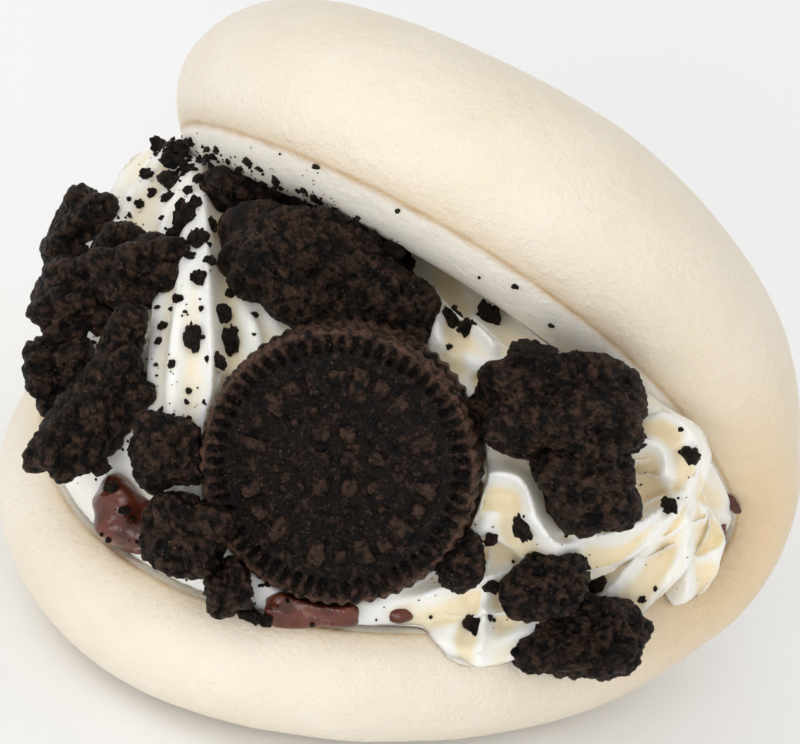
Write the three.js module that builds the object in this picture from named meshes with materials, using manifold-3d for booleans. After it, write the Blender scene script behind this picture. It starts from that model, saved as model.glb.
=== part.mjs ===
// Cookies and cream bao: a folded steamed bun with whipped cream, chocolate sauce,
// one whole sandwich cookie and broken cookie in its mouth.
// Millimetres, +Z up. The fold runs along X, the mouth opens towards -Y.
import * as THREE from 'three'
import Module from 'manifold-3d'

const wasm = await Module()
wasm.setup()

// Driving dimensions
const gap = 0.35 // clearance between pieces that touch
const dough = {
  halfLength: 56.9, // middle to crease along the fold
  topReach: 75.8, // fold to crease, top flap
  bottomReach: 82.6, // fold to crease, bottom flap
  topEdge: 27.1, // thickness at the rolled edge
  bottomEdge: 24.3,
  topMiddle: 28.6, // thickness in the middle
  bottomMiddle: 24.8,
  topRoll: 16.1, // radius of the rolled edge, outwards
  bottomRoll: 16.7,
  tuck: 48, // how far the rolled edge turns back under, degrees
  foldHalf: 7.7, // half the length of dough that bends
  foldThin: 0.38, // share of thickness lost in the fold
  foldSpread: 17,
  footSpread: 11.5, // the same under the middle, so that the flat underside reaches back past the weight
  opening: 59.6, // angle between the flaps, degrees
  openingTilt: 4.4, // more open at the +X end
  openingCurve: -4.3,
  topCurl: 0.0065, // curvature of the top flap, per mm
  swell: 1.6, // fuller top flap, right of the middle
  seam: 0.65, // share of the length left where the middle of the sheet closes on the fold line
  recess: 0.8, // inner faces lie this deep behind the crease
  lip: 6, // how far the inner face of the top flap is puffed out near the crease
  lipAt: 0.16, // share of the way from the crease to the fold where it stands out most
  lipEnd: 0.6,
  crowd: 0.5, // how much closer the columns stand at the two ends of the fold
  restPlane: -24.3, // flat underside
}
const mound = {
  inset: 0.985, // edge of the cream, as a share of the way to the crease
  contact: 43, // how far up the top flap the cream touches
  soft: 6, // rounding of that line at the ends
  rise: 30, // upward pull of the front at its foot
  topRise: 6, // upward and outward pull at its head
  topOut: 18,
  leftOut: 10,
}
const cookie = { radius: 22, wafer: 3.8, filling: 3.4, fillingRadius: 19.8, ridges: 60 }
const sauce = { thick: 3.2, reach: 0.84, foldEdge: 9, middle: -25 }
// The mouth faces this way; toppings are placed right, up and out of the cookie's middle
const facing = {
  right: [0.7533, 0.6331, 0.1782],
  up: [-0.4597, 0.3132, 0.831],
  out: [0.4703, -0.7079, 0.527],
  middle: [24.4, -59.7, 26.3],
}
const stand = [-1.59, 28.43, 24.3] // shift that puts the middle of the underside at the origin

const mix = (a, b, t) => a + (b - a) * t
const clamp = (x, a, b) => Math.min(b, Math.max(a, x))
const rad = (d) => (d * Math.PI) / 180
const add = (a, b, k = 1) => a.map((v, i) => v + b[i] * k)
const chance = (seed, k) => {
  const v = Math.sin(seed * 12.9898 + k * 78.233) * 43758.5453
  return v - Math.floor(v)
}
const ring = (n, point) => Array.from({ length: n }, (_, i) => point((2 * Math.PI * i) / n, i))
const face = (r, u, b) => add(add(add(facing.middle, facing.right, r), facing.up, u), facing.out, b)

// Closed body from a stack of equal rings, with a point at each end or a ring that folds flat onto a line
function body(rings, first, last) {
  const n = rings[0].length
  const points = []
  const known = new Map()
  const vertex = (q) => {
    const key = q.map((v) => Math.round(v * 1e5)).join()
    if (!known.has(key)) known.set(key, points.push(q) - 1)
    return known.get(key)
  }
  const rows = rings.map((row) => row.map(vertex))
  if (first) rows.unshift(Array(n).fill(vertex(first)))
  if (last) rows.push(Array(n).fill(vertex(last)))
  const faces = []
  for (let k = 0; k + 1 < rows.length; k++) {
    for (let i = 0; i < n; i++) {
      const [a, b, c, d] = [rows[k][i], rows[k][(i + 1) % n], rows[k + 1][(i + 1) % n], rows[k + 1][i]]
      if (a !== b && b !== c && a !== c) faces.push([a, b, c])
      if (a !== c && c !== d && a !== d) faces.push([a, c, d])
    }
  }
  const volume = faces.reduce((sum, f) => {
    const [a, b, c] = f.map((v) => new THREE.Vector3(...points[v]))
    return sum + a.dot(b.cross(c))
  }, 0)
  if (volume < 0) faces.forEach((f) => f.reverse())
  const vertProperties = new Float32Array(points.flat())
  const triVerts = new Uint32Array(faces.flat())
  return new wasm.Manifold(new wasm.Mesh({ numProp: 3, vertProperties, triVerts }))
}

// Position along the bent sheet of dough: flat flap, round fold, curling flap
function arc(curve, start, length) {
  if (Math.abs(curve) < 1e-6) return [length * Math.cos(start), length * Math.sin(start)]
  const end = start + curve * length
  return [(Math.sin(end) - Math.sin(start)) / curve, (Math.cos(start) - Math.cos(end)) / curve]
}
function wrap(p, q, h) {
  const u = p / dough.halfLength
  const turn = rad(180 - (dough.opening + dough.openingTilt * u + dough.openingCurve * u * u))
  const curve = turn / (2 * dough.foldHalf)
  const inFold = clamp(q + dough.foldHalf, 0, 2 * dough.foldHalf)
  const inTop = Math.max(q - dough.foldHalf, 0)
  const inBottom = Math.min(q + dough.foldHalf, 0)
  const angle = curve * inFold + dough.topCurl * inTop
  const a = arc(curve, 0, inFold)
  const b = arc(dough.topCurl, curve * inFold, inTop)
  return [p, a[0] + b[0] + inBottom + Math.sin(angle) * h, a[1] + b[1] - Math.cos(angle) * h]
}
const ofTop = (q) => 0.5 + 0.5 * Math.tanh(q / 12)

// Outside of the dough: t runs round the crease, s from the crease over the roll to the middle
function doughOutside(t, s, grow) {
  const turnover = 0.55
  const reach = t < Math.PI ? dough.topReach : dough.bottomReach
  const c = Math.cos(t)
  const n = Math.sin(t)
  const slope = Math.hypot(c / dough.halfLength, n / reach)
  const nx = c / dough.halfLength / slope
  const ny = n / reach / slope
  const rimP = dough.halfLength * c
  const rimQ = reach * n
  const swell = dough.swell * Math.exp(-(((t - 0.95) / 0.4) ** 2))
  const edge = mix(dough.bottomEdge, dough.topEdge, ofTop(rimQ)) + swell
  const roll = mix(dough.bottomRoll, dough.topRoll, ofTop(rimQ))
  const start = -rad(dough.tuck)
  const phi = mix(start, Math.PI / 2, clamp(s / turnover, 0, 1))
  const d = roll * (Math.cos(phi) - Math.cos(start)) + grow * Math.cos(phi)
  const lift = (Math.sin(phi) - Math.sin(start)) / (1 - Math.sin(start))
  const u = clamp((s - turnover) / (1 - turnover), 0, 1)
  const p = mix(rimP + nx * d, dough.seam * rimP, u)
  const q = (rimQ + ny * d) * (1 - u)
  const middle = mix(dough.bottomMiddle, dough.topMiddle, ofTop(q))
  let h = edge * lift + grow * Math.sin(phi)
  if (u > 0) h = mix(edge, middle, (1 - (1 - u) ** 2) ** 2) + grow
  const foot = q < 0 ? 1 - clamp(Math.abs(p) / dough.halfLength, 0, 1) ** 2 : 0
  const spread = mix(dough.foldSpread, dough.footSpread, foot)
  const thin = 1 - dough.foldThin * Math.exp(-((q / spread) ** 2))
  const point = wrap(p, q, h * thin)
  point[2] = Math.max(point[2], dough.restPlane - grow)
  return point
}
// How far the inner face of the top flap is puffed out at u, the share of the way from crease to fold
function puffed(t, u) {
  const rise = Math.sin((Math.PI / 2) * Math.min(1, u / dough.lipAt)) ** 0.8
  const fall = Math.cos((Math.PI / 2) * clamp((u - dough.lipAt) / (dough.lipEnd - dough.lipAt), 0, 1)) ** 2
  return dough.lip * clamp(1.6 * Math.sin(t), 0, 1) * rise * fall
}
function bun(grow, around) {
  const column = (point) => ring(around, (a) => point(a - 0.5 * dough.crowd * Math.sin(2 * a)))
  const inner = [1, 0.955, 0.9, 0.82, 0.6, 0.35, 0.12].map((u) =>
    column((t) => {
      const reach = t < Math.PI ? dough.topReach : dough.bottomReach
      const h = dough.recess * Math.min(1, u * 8) - puffed(t, u) - grow
      const p = dough.halfLength * (1 - (1 - dough.seam) * u) * Math.cos(t)
      return wrap(p, reach * (1 - u) * Math.sin(t), h)
    }),
  )
  const steps = [0, 0.08, 0.17, 0.26, 0.35, 0.45, 0.55, 0.7, 0.82, 0.9, 0.95, 0.98, 1]
  return body([...inner, ...steps.map((s) => column((t) => doughOutside(t, s, grow)))])
}

// Edges of the filling at t, from the +X end to the -X end: place along the fold, and both ends across it
function moundEdges(t) {
  const n = Math.sin(t)
  const near = Math.exp((-0.97 * dough.topReach * n) / mound.soft) + Math.exp(-mound.contact / mound.soft)
  return {
    p: mound.inset * dough.halfLength * Math.cos(t),
    bottom: -mound.inset * dough.bottomReach * n,
    top: Math.max(0, -mound.soft * Math.log(near)),
  }
}
// Front of the filling: v runs from the bottom crease up to the top flap
function moundFront(t, v) {
  const c = Math.cos(t)
  const n = Math.sin(t)
  const { p, bottom, top } = moundEdges(t)
  const low = wrap(p, bottom, -gap)
  const high = wrap(p, top, -gap)
  const full = Math.max(n, 0) ** 0.6
  const left = Math.max(-c, 0)
  const away = [c, -n, 0]
  const lowPull = add(add(low, [0, 0, mound.rise * full]), away, mound.leftOut * left * full)
  const highPull = add(add(high, [0, 0, mound.topRise * full]), away, mound.topOut * full * (1 - 0.35 * left))
  const w = [(1 - v) ** 3, 3 * (1 - v) ** 2 * v, 3 * (1 - v) * v * v, v ** 3]
  return [0, 1, 2].map((i) => low[i] * w[0] + lowPull[i] * w[1] + highPull[i] * w[2] + high[i] * w[3])
}
function moundCore(columns, front) {
  const back = [18, 8, 4, 0, -4, -8, -30]
  const loops = []
  for (let k = 1; k < columns; k++) {
    const t = (Math.PI * k) / columns
    const { p, bottom, top } = moundEdges(t)
    const loop = Array.from({ length: front }, (_, i) => moundFront(t, i / front))
    for (const q of [top, ...back]) loop.push(wrap(p, clamp(q, bottom, top), -1.6 * gap))
    loops.push(loop)
  }
  const middle = (loop) => loop.reduce((sum, q) => add(sum, q, 1 / loop.length), [0, 0, 0])
  return body(loops, middle(loops[0]), middle(loops.at(-1)))
}

// Piped rope of cream: a six-fluted star carried along a path, tapering at both ends
function rope({ path, radius, twist = 40, flute = 0.2, steps = path.length + 1, tip = 0.45 }) {
  const curve = new THREE.CatmullRomCurve3(path.map((q) => new THREE.Vector3(...face(...q))))
  const frames = curve.computeFrenetFrames(steps, false)
  const rings = frames.tangents.map((_, k) => {
    const u = k / steps
    const at = curve.getPointAt(u)
    const size = radius * (tip + (1 - tip) * Math.sin(Math.PI * clamp(u * 0.9 + 0.08, 0, 1)) ** 0.6)
    return ring(12, (a, i) => {
      const r = size * (1 + (i % 2 ? -flute : flute))
      const b = a + rad(twist) * u
      const side = frames.normals[k].clone().multiplyScalar(r * Math.cos(b))
      side.addScaledVector(frames.binormals[k], r * Math.sin(b)).add(at)
      return side.toArray()
    })
  })
  const start = curve.getPointAt(0).addScaledVector(frames.tangents[0], -radius * 0.4).toArray()
  const end = curve.getPointAt(1).addScaledVector(frames.tangents[steps], radius * 0.5).toArray()
  return body(rings, start, end)
}
const ropes = [
  { path: [[-23, 49, -56], [-22.5, 37, -34], [-22.5, 23, -20], [-24, 7, -12], [-24.5, -6, -11]], radius: 6.5 },
  { path: [[-33, 42, -47], [-36, 29.5, -36], [-37, 15, -29], [-35, 5, -23], [-31, 0, -18]], radius: 6 },
  { path: [[-22, 49, -56], [-28, 46, -51], [-32, 41, -48], [-33, 36, -44]], radius: 6 },
  { path: [[-16, 36, -33], [-14, 21, -18], [-14, 7, -10]], radius: 5 },
  { path: [[13.5, 25, -25], [17, 19, -15.5], [25, 13, -12.5], [35, 11, -14]], radius: 5.5 },
  { path: [[44, 4, -12], [52, 3, -16], [55.5, -2, -22]], radius: 5.5 },
  { path: [[16, -6, -8], [24, -6, -8], [31, -9, -10.5], [36, -13, -15], [43, -14, -22]], radius: 5.5 },
  { path: [[9, -20, -13], [17, -20, -14], [25, -20, -16], [33, -19, -18]], radius: 5 },
  { path: [[57, -6, -24], [51, -8, -20], [44, -11, -18], [37, -13, -15]], radius: 4.5, tip: 0.3 },
  { path: [[57, -7, -25], [52, -13, -25], [46, -20, -27], [40, -25, -27]], radius: 4.5, tip: 0.3 },
  { path: [[58.5, -9, -28], [57, -15, -33], [53, -22, -35]], radius: 4, tip: 0.3 },
  { path: [[15, -24.5, -13], [21.5, -28, -14.5], [29, -26, -18], [36, -23, -20]], radius: 4 },
]

// Sauce: a sheet along the bottom flap that reaches the crease in a few places, with thicker drops there
function sauceSheet(grow) {
  const spots = [[-98, 0.13, 12], [-65, 0.13, 10], [-47, 0.12, 5], [0, 0.13, 22]] // degrees, more reach, width
  const around = 26
  const { middle, foldEdge } = sauce
  const sheet = (f, h) =>
    ring(around, (t) => {
      const n = Math.sin(t)
      const deg = ((t > Math.PI ? t - 2 * Math.PI : t) * 180) / Math.PI
      const bulge = ([at, more, wide]) => more * Math.exp(-(((deg - at) / wide) ** 2))
      const reach = spots.reduce((sum, spot) => sum + bulge(spot), sauce.reach)
      const p = (dough.halfLength * reach + grow) * Math.cos(t)
      const q = n > 0 ? grow - foldEdge : (dough.bottomReach * reach - foldEdge + grow) * n - foldEdge
      return wrap(p * f, middle + (q - middle) * f, -h)
    })
  const low = gap - grow
  const high = gap + sauce.thick + grow
  const rings = [sheet(0.985, low), sheet(1, mix(low, high, 0.5)), sheet(0.96, high)]
  return body(rings, wrap(0, middle, -low), wrap(0, middle, -high))
}
const sauceDrops = [
  { at: [-32.5, -7.5, -16], half: [6.5, 5.5, 6.5], turn: -25 },
  { at: [-5, -22.5, -9], half: [7, 3, 4], turn: 0 },
  { at: [58.5, -8, -41.5], half: [4.5, 8, 4.5], turn: -20 },
]
const sauceBody = (grow) =>
  sauceDrops.reduce((sum, drop, i) => sum.add(nugget(90 + i, drop, grow, 4, 8)), sauceSheet(grow))

// Whole cookie, leaning a little to the lower left
const cookieOut = new THREE.Vector3(...add(add(facing.out, facing.right, -0.12), facing.up, -0.16)).normalize()
const cookieUp = new THREE.Vector3(...facing.up)
cookieUp.addScaledVector(cookieOut, -cookieOut.dot(cookieUp)).normalize()
const cookieRight = new THREE.Vector3().crossVectors(cookieUp, cookieOut)
function cookiePoint(r, a, depth) {
  const v = new THREE.Vector3(...facing.middle).addScaledVector(cookieOut, -depth)
  return v.addScaledVector(cookieRight, r * Math.cos(a)).addScaledVector(cookieUp, r * Math.sin(a)).toArray()
}
function disc(n, profile, first, last) {
  const rings = profile.map(([r, z, wave = 0, dip = 0]) =>
    ring(n, (a, i) => cookiePoint(r * (1 - (i % 2) * wave), a, z + (i % 2) * dip)),
  )
  return body(rings, cookiePoint(0, 0, first), cookiePoint(0, 0, last))
}
function bar(r0, r1, a, wide) {
  const corner = (r, s, z) => {
    const [x, y] = [r * Math.cos(a) - s * Math.sin(a), r * Math.sin(a) + s * Math.cos(a)]
    return cookiePoint(Math.hypot(x, y), Math.atan2(y, x), z)
  }
  const square = (z, k) => [
    corner(r0 + k, -wide + k, z), corner(r1 - k, -wide + k, z),
    corner(r1 - k, wide - k, z), corner(r0 + k, wide - k, z),
  ]
  const middle = (r0 + r1) / 2
  return body([square(0.9, 0), square(0.12, 0.25)], corner(middle, 0, 0.9), corner(middle, 0, 0.12))
}
const R = cookie.radius
const teeth = 2 * cookie.ridges
const backAt = cookie.wafer + cookie.filling
let waferFront = disc(teeth, [
  [0.84 * R, 0.1, 0, 0.4], [0.955 * R, 0.25, 0, 0.5],
  [R, 1.2, 0.022], [R, 2.9, 0.022], [0.96 * R, cookie.wafer],
], 0.5, cookie.wafer)
for (let i = 0; i < 12; i++) waferFront = waferFront.add(bar(0.52 * R, 0.72 * R, rad(30 * i + 15), 0.8))
const waferBack = disc(teeth, [
  [0.97 * R, backAt], [R, backAt + 1.9, 0.022], [0.95 * R, backAt + cookie.wafer],
], backAt, backAt + cookie.wafer)
const cookieCream = disc(32, [
  [cookie.fillingRadius, cookie.wafer + 0.3], [cookie.fillingRadius, backAt - 0.3],
], cookie.wafer + 0.3, backAt - 0.3)
const cookieRoom = disc(48, [
  [0.97 * R, -gap], [R + gap, 1],
  [R + gap, backAt + cookie.wafer - 0.8], [0.96 * R, backAt + cookie.wafer + gap],
], -gap, backAt + cookie.wafer + gap)

// Broken cookie: lumpy blocks; half sizes are right, up and out, turned in the facing plane
const pieces = [
  { name: 'a', at: [-41.5, 37.5, -42.5], half: [5, 7, 5.5], turn: -28 },
  { name: 'b', at: [-36, 31.5, -32], half: [5.2, 6.4, 5], turn: -35 },
  { name: 'c', at: [-31, 30.5, -22], half: [8, 5.6, 5], turn: 12 },
  { name: 'd', at: [-42, 25, -30], half: [6.6, 6.6, 5.5], turn: 30 },
  { name: 'e', at: [-43.5, 13.5, -26], half: [5.8, 6.4, 5.5], turn: 10 },
  { name: 'f', at: [-34, 18, -14.5], half: [3.3, 7.8, 4.5], turn: -14 },
  { name: 'g', at: [-38, 7.5, -14], half: [5.4, 10.8, 5.5], turn: -42 },
  { name: 'h', at: [-26.5, 3, -6], half: [5.6, 6.6, 5], turn: 15 },
  { name: 'i', at: [-23.5, -10.5, -5], half: [6.4, 5.6, 4.5], turn: -18 },
  { name: 'j', at: [-17, -19, -5], half: [3.6, 4.2, 4], turn: 20 },
  { name: 'k', at: [-5.5, 30.5, -20], half: [14, 9.4, 8.5], turn: -24 },
  { name: 'l', at: [-15, 42.5, -36], half: [6.8, 4.2, 5], turn: -12 },
  { name: 'm', at: [7, 23.5, -14.5], half: [7, 7.4, 6], turn: -30 },
  { name: 'n', at: [34, 9.5, -4], half: [13.6, 8.4, 7.5], turn: -8 },
  { name: 'o', at: [38, -2, -4.5], half: [6.4, 7.6, 6], turn: 20 },
  { name: 'p', at: [19, -14.5, -4], half: [3.4, 5, 3.5], turn: 0 },
  { name: 'q', at: [32.5, -19, -11.5], half: [6.6, 5, 4.5], turn: 18 },
  { name: 'r', at: [37.5, -27, -19.5], half: [9.6, 6, 5.5], turn: 6 },
]
function lumps(seed, x, y, z) {
  let sum = 0
  for (let k = 0; k < 5; k++) {
    const f = 1.6 + 0.9 * k
    const [a, b, c] = [0, 1, 2].map((i) => chance(seed, 4 * k + i) * 2 - 1)
    const phase = 6.28 * chance(seed, 4 * k + 3)
    sum += (0.11 * Math.sin(1.7 * f * (a * x + b * y + c * z) + phase)) / (1 + 0.3 * k)
  }
  return sum
}
function nugget(seed, { at, half, turn }, grow, rows, around) {
  const boxy = 3.2
  const place = (lat, lon) => {
    const dir = [Math.cos(lat) * Math.cos(lon), Math.sin(lat), Math.cos(lat) * Math.sin(lon)]
    const block = dir.reduce((sum, v) => sum + Math.abs(v) ** boxy, 0) ** (-1 / boxy)
    const r = block * (0.93 + lumps(seed, ...dir))
    const [x, y, z] = dir.map((v, i) => v * (half[i] * r + grow))
    const [c, s] = [Math.cos(rad(turn)), Math.sin(rad(turn))]
    return face(at[0] + x * c - y * s, at[1] + x * s + y * c, at[2] + z)
  }
  const rings = Array.from({ length: rows }, (_, k) => {
    const lat = mix(-Math.PI / 2, Math.PI / 2, (k + 1) / (rows + 1))
    return ring(around, (lon) => place(lat, lon))
  })
  return body(rings, place(-Math.PI / 2, 0), place(Math.PI / 2, 0))
}
const largest = (solid) => solid.decompose().sort((a, b) => b.volume() - a.volume())[0]

const bunSolid = bun(0, 54)
const bunRoom = bun(gap, 54)
let chunks = pieces.map((piece, i) => nugget(i + 1, piece, 0, 6, 9))
const chunkRooms = pieces.map((piece, i) => nugget(i + 1, piece, gap, 6, 9))
chunks = chunks.map((chunk, i) => {
  let rest = chunk.subtract(cookieRoom).subtract(bunRoom)
  for (let j = 0; j < chunks.length; j++) {
    const front = pieces[j].at[2] > pieces[i].at[2] || (pieces[j].at[2] === pieces[i].at[2] && j < i)
    if (j !== i && front) rest = rest.subtract(chunkRooms[j])
  }
  return largest(rest)
})
let sauceSolid = sauceBody(0).subtract(bunRoom).subtract(cookieRoom)
let cream = ropes.reduce((sum, item) => sum.add(rope(item)), moundCore(22, 7)).simplify(0.5)
cream = cream.subtract(bunRoom).subtract(cookieRoom).subtract(sauceBody(gap))
for (const room of chunkRooms) {
  cream = cream.subtract(room)
  sauceSolid = sauceSolid.subtract(room)
}
cream = largest(cream)
sauceSolid = largest(sauceSolid)

// The largest crumbs lie on the cream, clear of the pieces; each is right, up and half size
function frontOf(solid) {
  const { vertProperties, triVerts, numProp } = solid.getMesh()
  const axes = [facing.right, facing.up, facing.out]
  const flat = (i) => {
    const v = [0, 1, 2].map((k) => vertProperties[i * numProp + k] - facing.middle[k])
    return axes.map((axis) => axis.reduce((s, a, k) => s + a * v[k], 0))
  }
  return (r, u) => {
    let best = null
    for (let f = 0; f < triVerts.length; f += 3) {
      const [a, b, c] = [0, 1, 2].map((k) => flat(triVerts[f + k]))
      const area = (b[0] - a[0]) * (c[1] - a[1]) - (c[0] - a[0]) * (b[1] - a[1])
      if (area < 1e-9) continue
      const s = ((b[0] - r) * (c[1] - u) - (c[0] - r) * (b[1] - u)) / area
      const t = ((c[0] - r) * (a[1] - u) - (a[0] - r) * (c[1] - u)) / area
      if (s < 0 || t < 0 || s + t > 1) continue
      const out = s * a[2] + t * b[2] + (1 - s - t) * c[2]
      if (best === null || out > best) best = out
    }
    return best
  }
}
const blockers = chunks.map(frontOf)
const creamFront = frontOf(cream)
const crumbSpots = [
  [23.5, 23.5, 1.5], [31, 18.5, 1.4], [-26.5, 49, 1.3], [-27, 45, 1.3], [-24.5, 39.5, 1.3], [29, -9.5, 1.2],
  [40.5, -18, 1.2], [20.5, 22, 1.1], [18, 25, 1.1], [21, -24, 1.1], [-17.5, 19, 1.1], [-22.5, 20.5, 1.1],
  [55, 2, 1], [51.5, -6, 1], [-18.5, 24.5, 1], [24.5, -14, 1],
]
const crumbs = crumbSpots.filter(([r, u, size]) => {
  const rim = ring(6, (a) => [r + (size + 0.7) * Math.cos(a), u + (size + 0.7) * Math.sin(a)])
  return creamFront(r, u) !== null && rim.every((spot) => blockers.every((hit) => hit(...spot) === null))
})
crumbs.forEach(([r, u, size], i) => {
  const at = [r, u, creamFront(r, u) + 0.3 * size]
  const crumb = { at, half: [size, size * 0.8, size * 0.8], turn: 47 * i }
  cream = cream.add(nugget(40 + i, crumb, 0, 2, 5))
})
cream = largest(cream.subtract(bunRoom).simplify(0.12))

// Named meshes
function toMesh(name, solid, color, roughness) {
  const { vertProperties, triVerts, numProp } = solid.getMesh()
  const points = new Float32Array((vertProperties.length / numProp) * 3)
  for (let i = 0; i < points.length / 3; i++) {
    for (let k = 0; k < 3; k++) points[3 * i + k] = vertProperties[i * numProp + k] + stand[k]
  }
  const geometry = new THREE.BufferGeometry()
  geometry.setAttribute('position', new THREE.BufferAttribute(points, 3))
  geometry.setIndex(Array.from(triVerts))
  geometry.computeVertexNormals()
  const mesh = new THREE.Mesh(geometry, new THREE.MeshStandardMaterial({ color, roughness, metalness: 0 }))
  mesh.name = name
  return mesh
}
const group = new THREE.Group()
group.name = 'cookies_and_cream_bao'
group.add(
  toMesh('bun', bunSolid, 0xf3e8d2, 0.55),
  toMesh('whipped_cream', cream, 0xf6efe2, 0.5),
  toMesh('chocolate_sauce', sauceSolid, 0x2e130c, 0.2),
  toMesh('cookie_wafer_front', waferFront, 0x2b211e, 0.85),
  toMesh('cookie_filling', cookieCream, 0xefe9dd, 0.7),
  toMesh('cookie_wafer_back', waferBack, 0x2b211e, 0.85),
  ...chunks.map((chunk, i) => toMesh(`cookie_piece_${pieces[i].name}`, chunk, 0x1e1714, 0.9)),
)
export default group
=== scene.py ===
import math
import bmesh
import bpy
import numpy as np
from mathutils import Matrix, Vector
from mathutils.bvhtree import BVHTree


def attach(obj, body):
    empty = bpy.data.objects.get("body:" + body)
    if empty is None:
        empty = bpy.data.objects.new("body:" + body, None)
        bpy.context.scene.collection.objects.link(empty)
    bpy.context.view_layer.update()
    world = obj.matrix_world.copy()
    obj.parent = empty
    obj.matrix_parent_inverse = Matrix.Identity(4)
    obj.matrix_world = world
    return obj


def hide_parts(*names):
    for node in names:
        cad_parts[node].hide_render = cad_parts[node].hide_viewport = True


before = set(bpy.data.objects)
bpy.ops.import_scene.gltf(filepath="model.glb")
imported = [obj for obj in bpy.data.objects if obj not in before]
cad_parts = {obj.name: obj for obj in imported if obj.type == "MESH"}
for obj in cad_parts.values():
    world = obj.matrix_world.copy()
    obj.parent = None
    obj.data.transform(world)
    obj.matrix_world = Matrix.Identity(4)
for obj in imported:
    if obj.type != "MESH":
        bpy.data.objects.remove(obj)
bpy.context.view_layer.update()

mm = 0.001

# the frame stands on the underside, moved from the dough's own origin by this much
stand = np.array([-1.59, 28.43, 24.3])
# directions in which the toppings are placed from the middle of the whole cookie
facingRight = np.array([0.7533, 0.6331, 0.1782])
facingUp = np.array([-0.4597, 0.3132, 0.831])
facingOut = np.array([0.4703, -0.7079, 0.527])
facingMiddle = np.array([24.4, -59.7, 26.3])
facingAxes = np.stack([facingRight, facingUp, facingOut], 1)

camera = {
    "distance": 1060.0, "target": (-6.2, -2.3, 5.5),
    "scale": 0.1646, "imageWidth": 800,  # millimetres to a pixel at the target, and pixels
    "sensor": 36, "clipEnd": 10, "nearest": 950,  # sight lines start this far from the camera
}
cameraPlace = np.array(camera["target"]) + facingOut * camera["distance"]


def chance(seed, k):
    # fractional part of a large sine: a number from 0 to 1 fixed by two integers
    v = math.sin(seed * 12.9898 + k * 78.233) * 43758.5453
    return v - math.floor(v)


def face(r, u, b):
    # point right, up and out of the cookie's middle: the middle plus each amount times its direction
    point = facingMiddle + np.multiply.outer(r, facingRight)
    return point + np.multiply.outer(u, facingUp) + np.multiply.outer(b, facingOut)


def inFacing(points):
    # amounts right, up and out of the cookie's middle: the offset's products with the three directions
    return (points - facingMiddle) @ facingAxes


def seen(points):
    # places on the cookie's plane, right and up of its middle, where sight lines to the points cross it
    offset = points - cameraPlace
    reach = ((facingMiddle - cameraPlace) @ facingOut) / (offset @ facingOut)
    onPlane = cameraPlace + offset * reach[:, None] - facingMiddle
    return np.stack([onPlane @ facingRight, onPlane @ facingUp], 1)


def sightLine(r, u):
    # start and direction of the sight line through that spot of the cookie's plane
    direction = face(r, u, 0.0) - cameraPlace
    direction /= np.linalg.norm(direction)
    return Vector((cameraPlace + direction * camera["nearest"] + stand) * mm), Vector(direction)


def hashed(ix, iy, iz, seed):
    # whole-number lattice points to repeatable numbers from 0 to 1, by multiplying and folding bits
    n = ix.astype(np.int64) * 374761393 + iy.astype(np.int64) * 668265263
    n = n + iz.astype(np.int64) * 2147483647 + seed * 1274126177
    n = (n ^ (n >> 13)) * 1274126177
    n = n ^ (n >> 16)
    return (n & 0xFFFFFF) / 16777215.0


def smoothNoise(points, scale, seed):
    # lattice values blended with a smooth step in each direction, from -1 to 1
    q = points / scale
    base = np.floor(q)
    f = q - base
    f = f * f * (3 - 2 * f)
    total = np.zeros(len(points))
    for corner in range(8):
        step = corner & 1, (corner >> 1) & 1, corner >> 2
        x, y, z = [f[:, k] if step[k] else 1 - f[:, k] for k in range(3)]
        total += x * y * z * hashed(base[:, 0] + step[0], base[:, 1] + step[1], base[:, 2] + step[2], seed)
    return total * 2 - 1


def grains(points, scale, seed):
    # distance to the nearest of one random point per lattice cell: 0 in a grain's middle, 1 between them
    q = points / scale
    base = np.floor(q)
    nearest = np.full(len(points), 9.0)
    for dx in (-1, 0, 1):
        for dy in (-1, 0, 1):
            for dz in (-1, 0, 1):
                cell = base + (dx, dy, dz)
                spot = np.stack([hashed(cell[:, 0], cell[:, 1], cell[:, 2], seed + k) for k in (1, 2, 3)], 1)
                nearest = np.minimum(nearest, ((cell + spot - q) ** 2).sum(1))
    return np.sqrt(nearest)


def roundGrains(points, scale, seed, top=0.45):
    # rounded grains with sharp gaps: the top height less the squared distance, kept above a floor
    return top - np.minimum(grains(points, scale, seed) ** 2, 0.9)


def smoothStep(x, a, b):
    # 0 below a and 1 above b, with a cubic between them
    t = np.clip((x - a) / (b - a), 0, 1)
    return t * t * (3 - 2 * t)


def band(x, a, b, c, d):
    # rises from 0 to 1 between a and b, and falls back between c and d
    return smoothStep(x, a, b) * (1 - smoothStep(x, c, d))


def turned(x, y, degrees):
    # x and y turned counterclockwise: products with the angle's cosine and sine
    c, s = math.cos(math.radians(degrees)), math.sin(math.radians(degrees))
    return x * c - y * s, x * s + y * c


def gridFaces(rows, around):
    # quads between rows of a grid that joins up round its second direction
    i, j = np.meshgrid(np.arange(rows - 1), np.arange(around), indexing="ij")
    jn = (j + 1) % around
    corners = [i * around + j, i * around + jn, (i + 1) * around + jn, (i + 1) * around + j]
    return np.stack(corners, -1).reshape(-1, 4)


def stackFaces(rings, around):
    # quads of a stack of rings, then a fan at each end round the two points that follow the rings
    j = np.arange(around)
    jn = (j + 1) % around
    last = (rings - 1) * around
    firstFan = np.stack([np.full(around, rings * around), jn, j], 1)
    lastFan = np.stack([np.full(around, rings * around + 1), last + j, last + jn], 1)
    return gridFaces(rings, around).tolist() + firstFan.tolist() + lastFan.tolist()


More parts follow.
